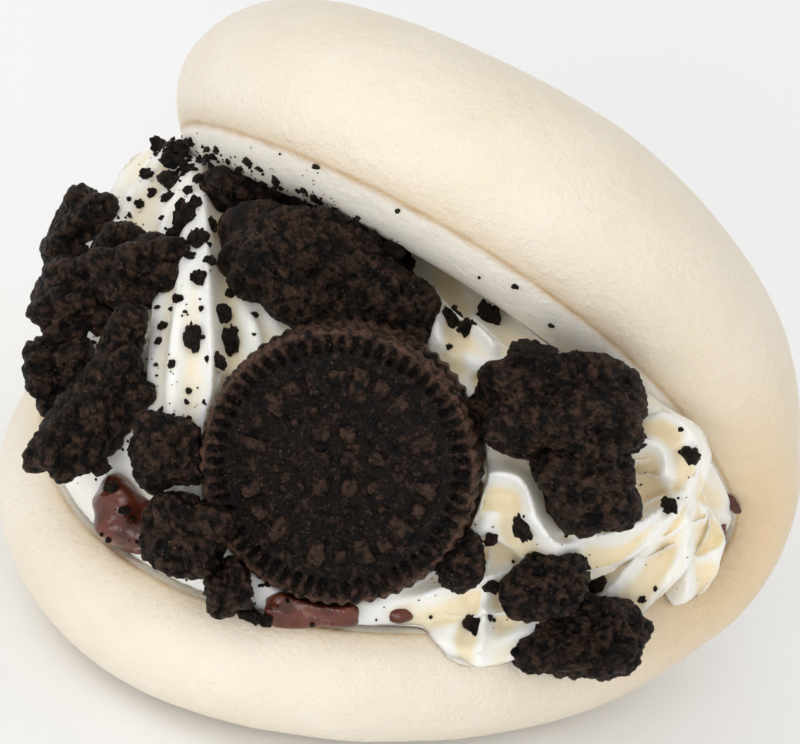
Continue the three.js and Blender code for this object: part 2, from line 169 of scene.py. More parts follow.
def makePiece(name, points, faces, material, nodes=None, smooth=True, attributes=None):
    # mesh object from millimetre points, welded and facing outwards
    mesh = bpy.data.meshes.new(name)
    mesh.from_pydata(((points + stand) * mm).tolist(), [], faces)
    for key, values in (attributes or {}).items():
        layer = mesh.attributes.new(key, "FLOAT", "POINT")
        layer.data.foreach_set("value", np.ascontiguousarray(values, dtype=np.float32))
    piece = bpy.data.objects.new(name, mesh)
    bpy.context.scene.collection.objects.link(piece)
    if material:
        mesh.materials.append(material)
    bm = bmesh.new()
    bm.from_mesh(mesh)
    bmesh.ops.remove_doubles(bm, verts=bm.verts, dist=1e-6)
    bmesh.ops.dissolve_degenerate(bm, edges=bm.edges, dist=1e-7)
    bmesh.ops.recalc_face_normals(bm, faces=bm.faces)
    if bm.calc_volume(signed=True) < 0:
        bmesh.ops.reverse_faces(bm, faces=bm.faces)
    bm.to_mesh(mesh)
    bm.free()
    mesh.polygons.foreach_set("use_smooth", np.full(len(mesh.polygons), smooth))
    mesh.update()
    if nodes:
        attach(piece, "root")
        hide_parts(*nodes)
    return piece


def copyOf(piece):
    # second object with a mesh of its own
    twin = piece.copy()
    twin.data = piece.data.copy()
    bpy.context.scene.collection.objects.link(twin)
    return twin


def applyModifiers(piece):
    # the piece's mesh becomes the one that its modifiers make
    depsgraph = bpy.context.evaluated_depsgraph_get()
    made = bpy.data.meshes.new_from_object(piece.evaluated_get(depsgraph))
    piece.modifiers.clear()
    old = piece.data
    piece.data = made
    bpy.data.meshes.remove(old)


def combine(target, other, operation):
    # boolean of two closed meshes, the other one removed after it
    step = target.modifiers.new("join", "BOOLEAN")
    step.operation = operation
    step.solver = "MANIFOLD"
    step.object = other
    applyModifiers(target)
    bpy.data.objects.remove(other)


def voxelRemesh(piece, name, size):
    # even mesh from cubes of that size in metres
    remesh = piece.modifiers.new(name, "REMESH")
    remesh.mode = "VOXEL"
    remesh.voxel_size = size


def onlyMaterial(mesh, material):
    # the boolean's empty slots go, and this one material stays
    mesh.materials.clear()
    mesh.materials.append(material)


def newMaterial(name):
    # one shader on the output, and the object coordinates that its patterns read
    material = bpy.data.materials.new(name)
    material.use_nodes = True
    tree = material.node_tree
    tree.nodes.clear()
    out = tree.nodes.new("ShaderNodeOutputMaterial")
    shader = tree.nodes.new("ShaderNodeBsdfPrincipled")
    tree.links.new(shader.outputs[0], out.inputs[0])
    where = tree.nodes.new("ShaderNodeTexCoord")
    return material, tree, shader, where.outputs["Object"]


def setSockets(shader, values):
    # what is the same all over the surface, set on the shader's own sockets
    for socket, value in values.items():
        shader.inputs[socket].default_value = value


def noiseNode(tree, where, scale, detail=4.0, rough=0.6):
    # cloudy noise from 0 to 1, the scale in features to the metre
    node = tree.nodes.new("ShaderNodeTexNoise")
    node.inputs["Scale"].default_value = scale
    node.inputs["Detail"].default_value = detail
    node.inputs["Roughness"].default_value = rough
    tree.links.new(where, node.inputs["Vector"])
    return node.outputs["Fac"]


def grainNode(tree, where, scale):
    # distance to the nearest of the scattered points: 0 in the middle of a grain, larger between grains
    node = tree.nodes.new("ShaderNodeTexVoronoi")
    node.feature = "SMOOTH_F1"
    node.inputs["Scale"].default_value = scale
    node.inputs["Smoothness"].default_value = 0.3
    tree.links.new(where, node.inputs["Vector"])
    return node.outputs["Distance"]


def attributeNode(tree, name):
    # value that the mesh carries under that name
    node = tree.nodes.new("ShaderNodeAttribute")
    node.attribute_name = name
    return node.outputs["Fac"]


def mixNode(tree, factor, colorA, colorB):
    # first colour at factor 0, second at 1, each a plain colour or an output
    node = tree.nodes.new("ShaderNodeMix")
    node.data_type = "RGBA"
    tree.links.new(factor, node.inputs["Factor"])
    for socket, color in ((node.inputs["A"], colorA), (node.inputs["B"], colorB)):
        if isinstance(color, tuple):
            socket.default_value = (*color, 1)
        else:
            tree.links.new(color, socket)
    return node.outputs["Result"]


def rampNode(tree, value, low, high, colorA, colorB):
    # first colour where the value is below low, second above high, blended evenly between
    node = tree.nodes.new("ShaderNodeMapRange")
    node.inputs["From Min"].default_value = low
    node.inputs["From Max"].default_value = high
    tree.links.new(value, node.inputs["Value"])
    return mixNode(tree, node.outputs[0], colorA, colorB)


def addBumps(tree, shader, bumps):
    # heights with their depths in metres, each laid over the one before it
    under = None
    for height, distance in bumps:
        node = tree.nodes.new("ShaderNodeBump")
        node.inputs["Distance"].default_value = distance
        node.inputs["Strength"].default_value = 1.0
        tree.links.new(height, node.inputs["Height"])
        if under:
            tree.links.new(under, node.inputs["Normal"])
        under = node.outputs[0]
    tree.links.new(under, shader.inputs["Normal"])


doughLook = {
    "skin": (0.84, 0.75, 0.605), "skinLight": (0.875, 0.80, 0.68),
    "blotch": (40, 3), "blotchRange": (0.35, 0.65),
    # the warm colour is painted warm shade at the fold's +X end and along the crease; the crease colour is a
    # thin line of painted crease shade
    "inside": (0.93, 0.87, 0.77), "crease": (0.52, 0.31, 0.11), "warmShade": (0.72, 0.51, 0.26),
    "dimple": (260, 3, 0.6), "dimpleDepth": 0.0006, "pore": (1100, 4, 0.7), "poreDepth": 0.0004,
    "sockets": {
        "Roughness": 0.42, "Subsurface Weight": 0.35,
        "Subsurface Radius": (1.0, 0.75, 0.5), "Subsurface Scale": 0.006,
    },
}
doughMaterial, tree, shader, where = newMaterial("dough")
blotch = noiseNode(tree, where, *doughLook["blotch"])
skin = rampNode(tree, blotch, *doughLook["blotchRange"], doughLook["skin"], doughLook["skinLight"])
# the warm layer is painted warm shade, the inside layer the inner face's own paler colour, the crease layer
# painted crease shade
for layer in ("warmShade", "inside", "crease"):
    skin = mixNode(tree, attributeNode(tree, layer), skin, doughLook[layer])
tree.links.new(skin, shader.inputs["Base Color"])
setSockets(shader, doughLook["sockets"])
addBumps(tree, shader, [(noiseNode(tree, where, *doughLook["dimple"]), doughLook["dimpleDepth"]),
                        (noiseNode(tree, where, *doughLook["pore"]), doughLook["poreDepth"])])

creamLook = {
    # the second colour is painted warm shade for hollows and troughs
    "color": (0.93, 0.90, 0.83), "deep": (0.90, 0.78, 0.55), "hollowRange": (-0.1, 0.75),
    "fine": (700, 3, 0.6), "fineDepth": 0.00012, "soft": (180, 2, 0.5), "softDepth": 0.0003,
    "sockets": {
        "Roughness": 0.5, "Subsurface Weight": 0.5,
        "Subsurface Radius": (1.0, 0.8, 0.5), "Subsurface Scale": 0.004,
    },
}
creamMaterial, tree, shader, where = newMaterial("whippedCream")
# yellower with the mesh's hollow value: painted warm shade in hollows and troughs
hollowShade = attributeNode(tree, "hollowShade")
tint = rampNode(tree, hollowShade, *creamLook["hollowRange"], creamLook["color"], creamLook["deep"])
tree.links.new(tint, shader.inputs["Base Color"])
setSockets(shader, creamLook["sockets"])
addBumps(tree, shader, [(noiseNode(tree, where, *creamLook["fine"]), creamLook["fineDepth"]),
                        (noiseNode(tree, where, *creamLook["soft"]), creamLook["softDepth"])])

biscuitLook = {
    "cloud": (700, 6, 0.75), "cloudRange": (0.52, 0.80), "cloudDepth": 0.0012,
    "coarseGrain": 620, "coarseRange": (0.50, 0.80), "coarseDepth": -0.0006,
    "fineGrain": 1500, "fineRange": (0.55, 0.90), "fineDepth": -0.0003,
    "speck": (2600, 2, 0.7), "speckRange": (0.67, 0.72), "speckDepth": 0.0003, "speckColor": (0.24, 0.16, 0.11),
    "hollowRange": (0.15, 0.6), "highRange": (0.55, 1.0),
    "sockets": {"Roughness": 0.36, "Specular IOR Level": 0.15},
}
# the first colour is painted shade for hollows and gaps between grains; light is the browner high spots,
# painted light
chunkLook = {"deep": (0.0008, 0.0005, 0.0003), "dark": (0.009, 0.0050, 0.0032), "light": (0.066, 0.035, 0.022)}
# on the wafer the light brown is also the rim's own colour
waferLook = {"deep": (0.002, 0.0013, 0.001), "dark": (0.015, 0.0083, 0.0055), "light": (0.150, 0.078, 0.052)}


def biscuitMaterial(name, look):
    # dry grainy biscuit: painted shade, black in its hollows and between grains; painted light, browner on high
    # spots and where the cloudy bump rises; small pale grains
    material, tree, shader, where = newMaterial(name)
    relief = attributeNode(tree, "relief")
    cloud = noiseNode(tree, where, *biscuitLook["cloud"])
    coarseGrain = grainNode(tree, where, biscuitLook["coarseGrain"])
    fineGrain = grainNode(tree, where, biscuitLook["fineGrain"])
    speck = noiseNode(tree, where, *biscuitLook["speck"])
    # painted shade low and painted light high, by the relief value
    color = rampNode(tree, relief, *biscuitLook["hollowRange"], look["deep"], look["dark"])
    color = rampNode(tree, relief, *biscuitLook["highRange"], color, look["light"])
    # painted light where the cloudy bump rises; painted shade in the gaps between grains
    color = rampNode(tree, cloud, *biscuitLook["cloudRange"], color, look["light"])
    color = rampNode(tree, coarseGrain, *biscuitLook["coarseRange"], color, look["deep"])
    color = rampNode(tree, fineGrain, *biscuitLook["fineRange"], color, look["deep"])
    color = rampNode(tree, speck, *biscuitLook["speckRange"], color, biscuitLook["speckColor"])
    tree.links.new(color, shader.inputs["Base Color"])
    setSockets(shader, biscuitLook["sockets"])
    addBumps(tree, shader, [(cloud, biscuitLook["cloudDepth"]), (coarseGrain, biscuitLook["coarseDepth"]),
                            (fineGrain, biscuitLook["fineDepth"]), (speck, biscuitLook["speckDepth"])])
    return material


fillingLook = {
    "cloud": (300, 3), "range": (0.4, 0.7), "dark": (0.82, 0.78, 0.68), "light": (0.88, 0.85, 0.77),
    "grain": (900, 2), "depth": 0.0001, "sockets": {"Roughness": 0.7},
}
sauceLook = {
    "cloud": (200, 2), "range": (0.35, 0.7), "dark": (0.055, 0.013, 0.0065), "light": (0.15, 0.036, 0.018),
    "grain": (350, 2), "depth": 0.0003,
    "sockets": {"Roughness": 0.15, "Coat Weight": 0.25, "Coat Roughness": 0.05, "Specular IOR Level": 0.35},
}
floorLook = {
    "cloud": (3, 2), "range": (0.3, 0.7), "dark": (0.93, 0.93, 0.93), "light": (0.95, 0.95, 0.95),
    "sockets": {"Roughness": 0.9},
}


def cloudyMaterial(name, look):
    # two colours blended by a noise, with a second noise as bump
    material, tree, shader, where = newMaterial(name)
    color = rampNode(tree, noiseNode(tree, where, *look["cloud"]), *look["range"], look["dark"], look["light"])
    tree.links.new(color, shader.inputs["Base Color"])
    setSockets(shader, look["sockets"])
    if "grain" in look:
        addBumps(tree, shader, [(noiseNode(tree, where, *look["grain"]), look["depth"])])
    return material


chunkMaterial = biscuitMaterial("brokenCookie", chunkLook)
waferMaterial = biscuitMaterial("cookieWafer", waferLook)
fillingMaterial = cloudyMaterial("cookieFilling", fillingLook)
sauceMaterial = cloudyMaterial("chocolateSauce", sauceLook)
print("materials done")

dough = {
    "halfLength": 56.9, "topReach": 75.8, "bottomReach": 82.6,
    "topEdge": 27.1, "bottomEdge": 24.3, "topMiddle": 28.6, "bottomMiddle": 24.8,
    "topRoll": 16.1, "bottomRoll": 16.7, "tuck": 48.0,
    "rollPart": 0.55, "middlePart": 0.45,  # shares of the way from the crease to the sheet's middle line
    "foldHalf": 7.7, "foldThin": 0.38, "foldSpread": 17.0, "footSpread": 11.5, "flapBlend": 12,
    "opening": 59.6, "openingTilt": 4.4, "openingCurve": -4.3, "topCurl": 0.0065,
    "swell": 1.6, "swellAt": 0.95, "swellWidth": 0.4, "seam": 0.65, "recess": 0.8, "restPlane": -24.3,
    "lip": 6.0, "lipAt": 0.16, "lipEnd": 0.6, "crowding": 0.25,
    "uneven": [(0.35, 22, 5), (0.12, 7, 6), (0.03, 2.2, 7)],  # height, width and seed of each noise
    "unevenInside": 0.3, "room": 0.12,  # fillings keep this much off the dough
    "around": 480, "rows": 100,
}
# painted warm shade: the corner at the fold's +X end and halos along the crease, outside and on the inner face;
# the line is painted crease shade
doughTint = {
    "lineInside": 150, "lineOutside": 0.0075, "lineStrength": 0.75, "lineNoise": (2.2, 8),
    "corner": 0.7, "cornerWidth": 0.42, "cornerAt": 0.08, "cornerReach": 0.2,
    "halo": 0.35, "haloWidth": 0.045, "innerHalo": 0.25, "innerHaloWidth": 14,
}


def arc(curve, start, length):
    # end of an arc of that curvature, start angle and length, as along and across
    curve = np.where(np.abs(curve) < 1e-9, 1e-9, curve)
    end = start + curve * length
    return (np.sin(end) - np.sin(start)) / curve, (np.cos(start) - np.cos(end)) / curve


def wrap(p, q, h):
    # sheet position p along the fold, q across it and h outwards: flat flap, round fold, curling flap
    u = p / dough["halfLength"]
    turn = np.radians(180 - (dough["opening"] + dough["openingTilt"] * u + dough["openingCurve"] * u * u))
    curve = turn / (2 * dough["foldHalf"])
    inFold = np.clip(q + dough["foldHalf"], 0, 2 * dough["foldHalf"])
    inTop = np.maximum(q - dough["foldHalf"], 0)
    inBottom = np.minimum(q + dough["foldHalf"], 0)
    angle = curve * inFold + dough["topCurl"] * inTop
    y1, z1 = arc(curve, 0.0, inFold)
    y2, z2 = arc(dough["topCurl"] + 0 * curve, curve * inFold, inTop)
    return np.stack([p + 0 * angle, y1 + y2 + inBottom + np.sin(angle) * h, z1 + z2 - np.cos(angle) * h], -1)


def ofTop(q):
    # share of the top flap's measures: 0 on the bottom flap, 1 on the top one, a soft step across the fold
    return 0.5 + 0.5 * np.tanh(q / dough["flapBlend"])


def doughOutside(t, s, grow=0.0):
    # t runs round the crease, s from the crease over an elliptical roll to the middle line of the sheet
    turnover = dough["rollPart"]
    reach = np.where(np.sin(t) > 0, dough["topReach"], dough["bottomReach"])
    c, n = np.cos(t), np.sin(t)
    slope = np.hypot(c / dough["halfLength"], n / reach)
    nx, ny = c / dough["halfLength"] / slope, n / reach / slope
    rimP, rimQ = dough["halfLength"] * c, reach * n
    w = ofTop(rimQ)
    swell = dough["swell"] * np.exp(-(((t - dough["swellAt"]) / dough["swellWidth"]) ** 2))
    edge = dough["bottomEdge"] * (1 - w) + dough["topEdge"] * w + swell
    roll = dough["bottomRoll"] * (1 - w) + dough["topRoll"] * w
    start = -math.radians(dough["tuck"])
    phi = start + (math.pi / 2 - start) * np.clip(s / turnover, 0, 1)
    d = roll * (np.cos(phi) - math.cos(start)) + grow * np.cos(phi)
    lift = (np.sin(phi) - math.sin(start)) / (1 - math.sin(start))
    u = np.clip((s - turnover) / (1 - turnover), 0, 1)
    p = (rimP + nx * d) * (1 - u) + dough["seam"] * rimP * u
    q = (rimQ + ny * d) * (1 - u)
    wq = ofTop(q)
    middle = dough["bottomMiddle"] * (1 - wq) + dough["topMiddle"] * wq
    blend = (1 - (1 - u) ** 2) ** 2
    h = np.where(u > 0, edge * (1 - blend) + middle * blend + grow, edge * lift + grow * np.sin(phi))
    # thinner along the fold, by a bell curve that is narrower below, so that the foot reaches back
    foot = np.where(q < 0, 1 - np.clip(np.abs(p) / dough["halfLength"], 0, 1) ** 2, 0)
    spread = dough["foldSpread"] * (1 - foot) + dough["footSpread"] * foot
    thin = 1 - dough["foldThin"] * np.exp(-((q / spread) ** 2))
    point = wrap(p, q, h * thin)
    point[..., 2] = np.maximum(point[..., 2], dough["restPlane"] - grow)
    return point


def puffed(t, u):
    # bulge of the top flap's inner face: a sine up from the crease, a squared cosine down towards the fold
    rise = np.sin(math.pi / 2 * np.minimum(1, u / dough["lipAt"])) ** 0.8
    fall = np.cos(math.pi / 2 * np.clip((u - dough["lipAt"]) / (dough["lipEnd"] - dough["lipAt"]), 0, 1)) ** 2
    return dough["lip"] * np.clip(1.6 * np.sin(t), 0, 1) * rise * fall


def doughShape(around, rows, grow=0.0):
    # inner faces from the fold line out to the crease, then the outside back to the fold line
    even = np.linspace(0, 2 * math.pi, around, endpoint=False)
    t = even - dough["crowding"] * np.sin(2 * even)  # closer columns at the two ends of the fold
    u = (1 - np.linspace(0, 1, rows // 2)[:-1]) ** 1.4
    tt, uu = np.meshgrid(t, u, indexing="xy")
    reach = np.where(np.sin(tt) > 0, dough["topReach"], dough["bottomReach"])
    h = dough["recess"] * np.minimum(1, uu * 8) - puffed(tt, uu) - grow
    p = dough["halfLength"] * (1 - (1 - dough["seam"]) * uu) * np.cos(tt)
    inner = wrap(p, reach * (1 - uu) * np.sin(tt), h)
    roll = np.linspace(0, dough["rollPart"], rows)
    over = dough["rollPart"] + dough["middlePart"] * (1 - (1 - np.linspace(0, 1, rows // 2)[1:]) ** 1.5)
    s = np.concatenate([roll, over])
    ts, ss = np.meshgrid(t, s, indexing="xy")
    outer = doughOutside(ts, ss, grow)
    points = np.concatenate([inner.reshape(-1, 3), outer.reshape(-1, 3)])
    inside = np.concatenate([np.ones(inner.shape[:2]).ravel(), np.zeros(outer.shape[:2]).ravel()])
    # bell curves of the distance from the crease: a thin line of painted crease shade, a halo of painted warm
    # shade, and painted warm shade at the fold's +X end
    # thin brown line of painted crease shade on both sides of the crease
    line = np.concatenate([np.exp(-((uu * doughTint["lineInside"]) ** 2)).ravel(),
                           np.exp(-((ss / doughTint["lineOutside"]) ** 2)).ravel()])
    line = line * (doughTint["lineStrength"] + 0.3 * smoothNoise(points, *doughTint["lineNoise"]))
    fromEnd = np.minimum(ts, 2 * math.pi - ts)
    warmShade = doughTint["corner"] * np.exp(-((fromEnd / doughTint["cornerWidth"]) ** 2))
    warmShade = warmShade * np.exp(-(((ss - doughTint["cornerAt"]) / doughTint["cornerReach"]) ** 2))
    warmShade = np.maximum(warmShade, doughTint["halo"] * np.exp(-((ss / doughTint["haloWidth"]) ** 2)))
    # painted warm shade on the inner face next to the crease
    innerWarmShade = doughTint["innerHalo"] * np.exp(-((uu * doughTint["innerHaloWidth"]) ** 2))
    warmShade = np.concatenate([innerWarmShade.ravel(), warmShade.ravel()])
    return points, gridFaces(len(u) + len(s), around), inside, line, warmShade


points, faces, inside, line, warmShade = doughShape(dough["around"], dough["rows"])
away = points - points.mean(0)
away /= np.linalg.norm(away, axis=1, keepdims=True)
flat = np.clip((points[:, 2] - dough["restPlane"]) / 3, 0, 1)  # no unevenness where it rests
uneven = sum(high * smoothNoise(points, wide, seed) for high, wide, seed in dough["uneven"])
points = points + away * (uneven * flat * np.where(inside > 0, dough["unevenInside"], 1.0))[:, None]
innerFaces = faces[inside[faces].min(1) > 0.5].tolist()
innerTree = BVHTree.FromPolygons(((points + stand) * mm).tolist(), innerFaces)
# its warm and crease values are painted warm shade and painted crease shade
bunPiece = makePiece("bunDough", points, faces.tolist(), doughMaterial, ["bun"],
                     attributes={"inside": inside, "crease": line * doughTint["lineStrength"], "warmShade": warmShade})
points, faces, *_ = doughShape(140, 40, dough["room"])
bunRoom = makePiece("bunRoom", points, faces.tolist(), None)
print("dough done")

# right, up and out of the cookie's middle, half sizes, and turn in degrees
brokenCookie = {
    "a": ((-41.5, 37.5, -42.5), (5, 7, 5.5), -28),
    "b": ((-36, 31.5, -32), (5.2, 6.4, 5), -35),
    "c": ((-31, 30.5, -22), (8, 5.6, 5), 12),
    "d": ((-42, 25, -30), (6.6, 6.6, 5.5), 30),
    "e": ((-43.5, 13.5, -26), (5.8, 6.4, 5.5), 10),
    "f": ((-34, 18, -14.5), (3.3, 7.8, 4.5), -14),
    "g": ((-38, 7.5, -14), (5.4, 10.8, 5.5), -42),
    "h": ((-26.5, 3, -6), (5.6, 6.6, 5), 15),
    "i": ((-23.5, -10.5, -5), (6.4, 5.6, 4.5), -18),
    "j": ((-17, -19, -5), (3.6, 4.2, 4), 20),
    "k": ((-5.5, 30.5, -20), (14, 9.4, 8.5), -24),
    "l": ((-15, 42.5, -36), (6.8, 4.2, 5), -12),
    "m": ((7, 23.5, -14.5), (7, 7.4, 6), -30),
    "n": ((34, 9.5, -4), (13.6, 8.4, 7.5), -8),
    "o": ((38, -2, -4.5), (6.4, 7.6, 6), 20),
    "p": ((19, -14.5, -4), (3.4, 5, 3.5), 0),
    "q": ((32.5, -19, -11.5), (6.6, 5, 4.5), 18),
    "r": ((37.5, -27, -19.5), (9.6, 6, 5.5), 6),
}
nuggetShape = {
    "boxiness": 3.2, "fullness": 0.93, "bend": 0.5, "bendWidth": 1.7,
    "large": 0.16, "largeWidth": 0.62, "middle": 0.85, "middleWidth": (0.27, 0.4),
    "small": 0.6, "smallWidth": 0.95, "grit": 0.16, "gritWidth": 0.5,
    "shadeBase": 0.43, "shadeRange": 1.05, "rowsPerMm": 13,
}


def lumps(seed, d):
    # sum of five sines of the direction, each with its own axis and phase
    total = np.zeros(len(d))
    for k in range(5):
        f = 1.6 + 0.9 * k
        axis = np.array([chance(seed, 4 * k + i) * 2 - 1 for i in range(3)])
        total += np.sin(f * 1.7 * (d @ axis) + 6.28 * chance(seed, 4 * k + 3)) * 0.11 / (1 + 0.3 * k)
    return total


def nugget(seed, at, half, turn, rows, around, grainy=False):
    # lumpy box-like superellipsoid; a grainy one has rounded grains of three sizes added along its radius,
    # on coordinates bent by slow noise
    lat = np.linspace(-math.pi / 2, math.pi / 2, rows + 2)
    lon = np.linspace(0, 2 * math.pi, around, endpoint=False)
    la, lo = np.meshgrid(lat[1:-1], lon, indexing="ij")
    d = np.stack([np.cos(la) * np.cos(lo), np.sin(la), np.cos(la) * np.sin(lo)], -1).reshape(-1, 3)
    d = np.concatenate([d, [[0, -1.0, 0], [0, 1.0, 0]]])
    power = nuggetShape["boxiness"]
    r = (np.abs(d) ** power).sum(1) ** (-1 / power) * (nuggetShape["fullness"] + lumps(seed, d))
    local = d * (np.array(half) * r[:, None])
    relief = np.zeros(len(local))
    if grainy:
        size = min(half)
        bend = [smoothNoise(local, nuggetShape["bendWidth"], seed + k) for k in (11, 12, 13)]
        bent = local + nuggetShape["bend"] * np.stack(bend, 1)
        large = nuggetShape["large"] * size * roundGrains(bent, nuggetShape["largeWidth"] * size, seed * 7 + 1)
        perSize, least = nuggetShape["middleWidth"]
        fine = nuggetShape["middle"] * roundGrains(bent, perSize * size + least, seed * 7 + 2)
        fine += (nuggetShape["small"] * roundGrains(bent, nuggetShape["smallWidth"], seed * 7 + 3)
                 + nuggetShape["grit"] * smoothNoise(local, nuggetShape["gritWidth"], seed))
        local = local + d * (large + fine)[:, None]
        relief = fine + 0.3 * large
    x, y = turned(local[:, 0], local[:, 1], turn)
    return face(at[0] + x, at[1] + y, at[2] + local[:, 2]), stackFaces(rows, around), relief


chunkPieces = []
for index, (label, (at, half, turn)) in enumerate(brokenCookie.items()):
    rows = int(nuggetShape["rowsPerMm"] * max(half) ** 0.9)
    points, faces, relief = nugget(index + 1, at, half, turn, rows, int(1.5 * rows), grainy=True)
    # painted shade in the hollows and painted light on the grains' tops, by their height
    shade = nuggetShape["shadeBase"] + nuggetShape["shadeRange"] * relief
    chunkPieces.append(makePiece("brokenCookie_" + label, points, faces, chunkMaterial,
                                 ["cookie_piece_" + label], attributes={"relief": shade}))
print("pieces done")

cookie = {
    "radius": 22.0, "wafer": 3.8, "filling": 3.4, "fillingRadius": 19.8, "leanRight": 0.12, "leanUp": 0.16,
    "ridges": 60, "ridgeDepth": 0.022, "recess": 0.75, "gap": 0.3,
    "around": 720, "faceRows": 104, "edgeRows": 12,
}
waferDesign = {
    # bands as shares of the radius, where each rises and falls
    "crown": (0.80, 0.91, 0.965, 1.02), "notch": (0.795, 0.83, 0.90, 0.955),
    "longBar": (0.50, 0.545, 0.70, 0.745), "shortBar": (0.57, 0.61, 0.67, 0.71),
    "beadAt": 0.43, "beadWidth": 0.035, "padEdge": (0.30, 0.36), "padTurns": 0.74,
    "bars": 12, "beads": 16, "crownHeight": 0.70, "notchDepth": 0.75, "height": 0.80,
}
cookieRadius = cookie["radius"]
cookieOut = facingOut - cookie["leanRight"] * facingRight - cookie["leanUp"] * facingUp
cookieOut /= np.linalg.norm(cookieOut)
cookieUp = facingUp - cookieOut * (cookieOut @ facingUp)
cookieUp /= np.linalg.norm(cookieUp)
cookieRight = np.cross(cookieUp, cookieOut)


def disc(profile, around, shape=None):
    # profile of radius and depth behind the front, turned round the cookie's axis
    profile = np.array(profile, dtype=float)
    a = np.linspace(0, 2 * math.pi, around, endpoint=False)
    radius = profile[:, 0][:, None] + 0 * a[None, :]
    depth = profile[:, 1][:, None] + 0 * a[None, :]
    angle = a[None, :] + 0 * radius
    if shape:
        radius, depth = shape(radius, depth, angle)
    flatPoints = [(radius * np.cos(angle)).ravel(), (radius * np.sin(angle)).ravel(), depth.ravel()]
    ends = [[0, 0], [0, 0], [depth[0].mean(), depth[-1].mean()]]
    x, y, z = [np.concatenate([v, e]) for v, e in zip(flatPoints, ends)]
    points = facingMiddle + np.outer(x, cookieRight) + np.outer(y, cookieUp) - np.outer(z, cookieOut)
    return points, stackFaces(len(profile), around), x, y, z


def corner(radius, depth, width, height, angles):
    # quarter of an ellipse outwards and backwards: the radius plus the sine, the depth plus one less the cosine
    return [(cookieRadius * (radius + width * math.sin(a)), depth + height * (1 - math.cos(a))) for a in angles]


def backCorner(radius, depth, width, height, angles):
    # quarter of an ellipse inwards and backwards: the radius plus the cosine, the depth plus the sine
    return [(cookieRadius * (radius + width * math.cos(a)), depth + height * math.sin(a)) for a in angles]


def waferRelief(radius, depth, angle):
    # raised rim notched on its inner side, long and short radial bars, beads and a lattice of pads, all worn:
    # products of smooth steps of the radius and of cosines of the angle
    rr = radius / cookieRadius
    x, y = radius * np.cos(angle), radius * np.sin(angle)
    spot = np.stack([x.ravel(), y.ravel(), 0 * x.ravel()], 1)
    bend = [0.35 * smoothNoise(spot, 1.8, k).reshape(x.shape) for k in (51, 52)]
    wornX, wornY = x + bend[0], y + bend[1]
    wornR, wornA = np.hypot(wornX, wornY) / cookieRadius, np.arctan2(wornY, wornX)
    wave = 0.5 + 0.5 * np.cos(cookie["ridges"] * angle + 0.5 * bend[0])
    crown = band(rr, *waferDesign["crown"])
    notch = band(rr, *waferDesign["notch"]) * (1 - wave) ** 1.5
    radius = radius * (1 - cookie["ridgeDepth"] * (1 - wave) * smoothStep(rr, 0.95, 0.99))
    longBar = smoothStep(np.cos(waferDesign["bars"] * (wornA - math.radians(15))), 0.15, 0.8)
    longBar = longBar * band(wornR, *waferDesign["longBar"])
    shortBar = smoothStep(np.cos(waferDesign["bars"] * wornA), 0.2, 0.85)
    shortBar = shortBar * band(wornR, *waferDesign["shortBar"])
    bead = smoothStep(np.cos(waferDesign["beads"] * wornA), 0.1, 0.8)
    bead = bead * np.exp(-(((wornR - waferDesign["beadAt"]) / waferDesign["beadWidth"]) ** 2))
    turns = waferDesign["padTurns"]
    pads = smoothStep(np.abs(np.sin(wornX * turns + 0.4) * np.sin(wornY * turns + 0.8)), 0.25, 0.75)
    pads = pads * (1 - smoothStep(wornR, *waferDesign["padEdge"]))
    relief = np.maximum(np.maximum(longBar, shortBar), np.maximum(bead, pads))
    worn = (0.72 + 0.45 * smoothNoise(spot, 3.4, 31)).reshape(x.shape)
    lift = waferDesign["crownHeight"] * crown - waferDesign["notchDepth"] * notch
    lift = lift + waferDesign["height"] * relief * worn
    return radius, depth - np.where(depth < 1.0, lift, 0)


def edgeRidges(radius, depth, angle):
    # the rim's radius less a share of the ridges' cosine wave
    wave = 0.5 + 0.5 * np.cos(cookie["ridges"] * angle)
    edge = smoothStep(radius / cookieRadius, 0.96, 0.99)
    return radius * (1 - cookie["ridgeDepth"] * (1 - wave) * edge), depth


profile = [(r * cookieRadius, cookie["recess"]) for r in np.linspace(0.01, 0.955, cookie["faceRows"])]
profile += corner(0.955, cookie["recess"], 0.045, 0.9, np.linspace(0.1, math.pi / 2, 8))
profile += [(cookieRadius, z) for z in np.linspace(1.6, 2.9, cookie["edgeRows"])]
profile += backCorner(0.96, 2.9, 0.04, 0.9, np.linspace(0.2, math.pi / 2, 6))
profile += [(r * cookieRadius, cookie["wafer"]) for r in (0.8, 0.5, 0.1)]
points, faces, x, y, z = disc(profile, cookie["around"], waferRelief)
rough = 0.10 * smoothNoise(points, 1.1, 41) + 0.16 * roundGrains(points, 0.8, 42, 0.4)
rough = rough + 0.14 * smoothNoise(points, 5, 43)
points = points + np.outer(rough * (z < 3.7), cookieOut)
shade = np.clip(0.33 + 0.55 * (cookie["recess"] - z), -0.1, 0.68)  # painted shade, darker in the hollows, and painted light, lighter on raised parts; brown on the rim as its own colour
shade = np.where(np.hypot(x, y) < 0.95 * cookieRadius, shade, 0.9)
waferPiece = makePiece("waferFront", points, faces, waferMaterial, ["cookie_wafer_front"],
                       attributes={"relief": shade})

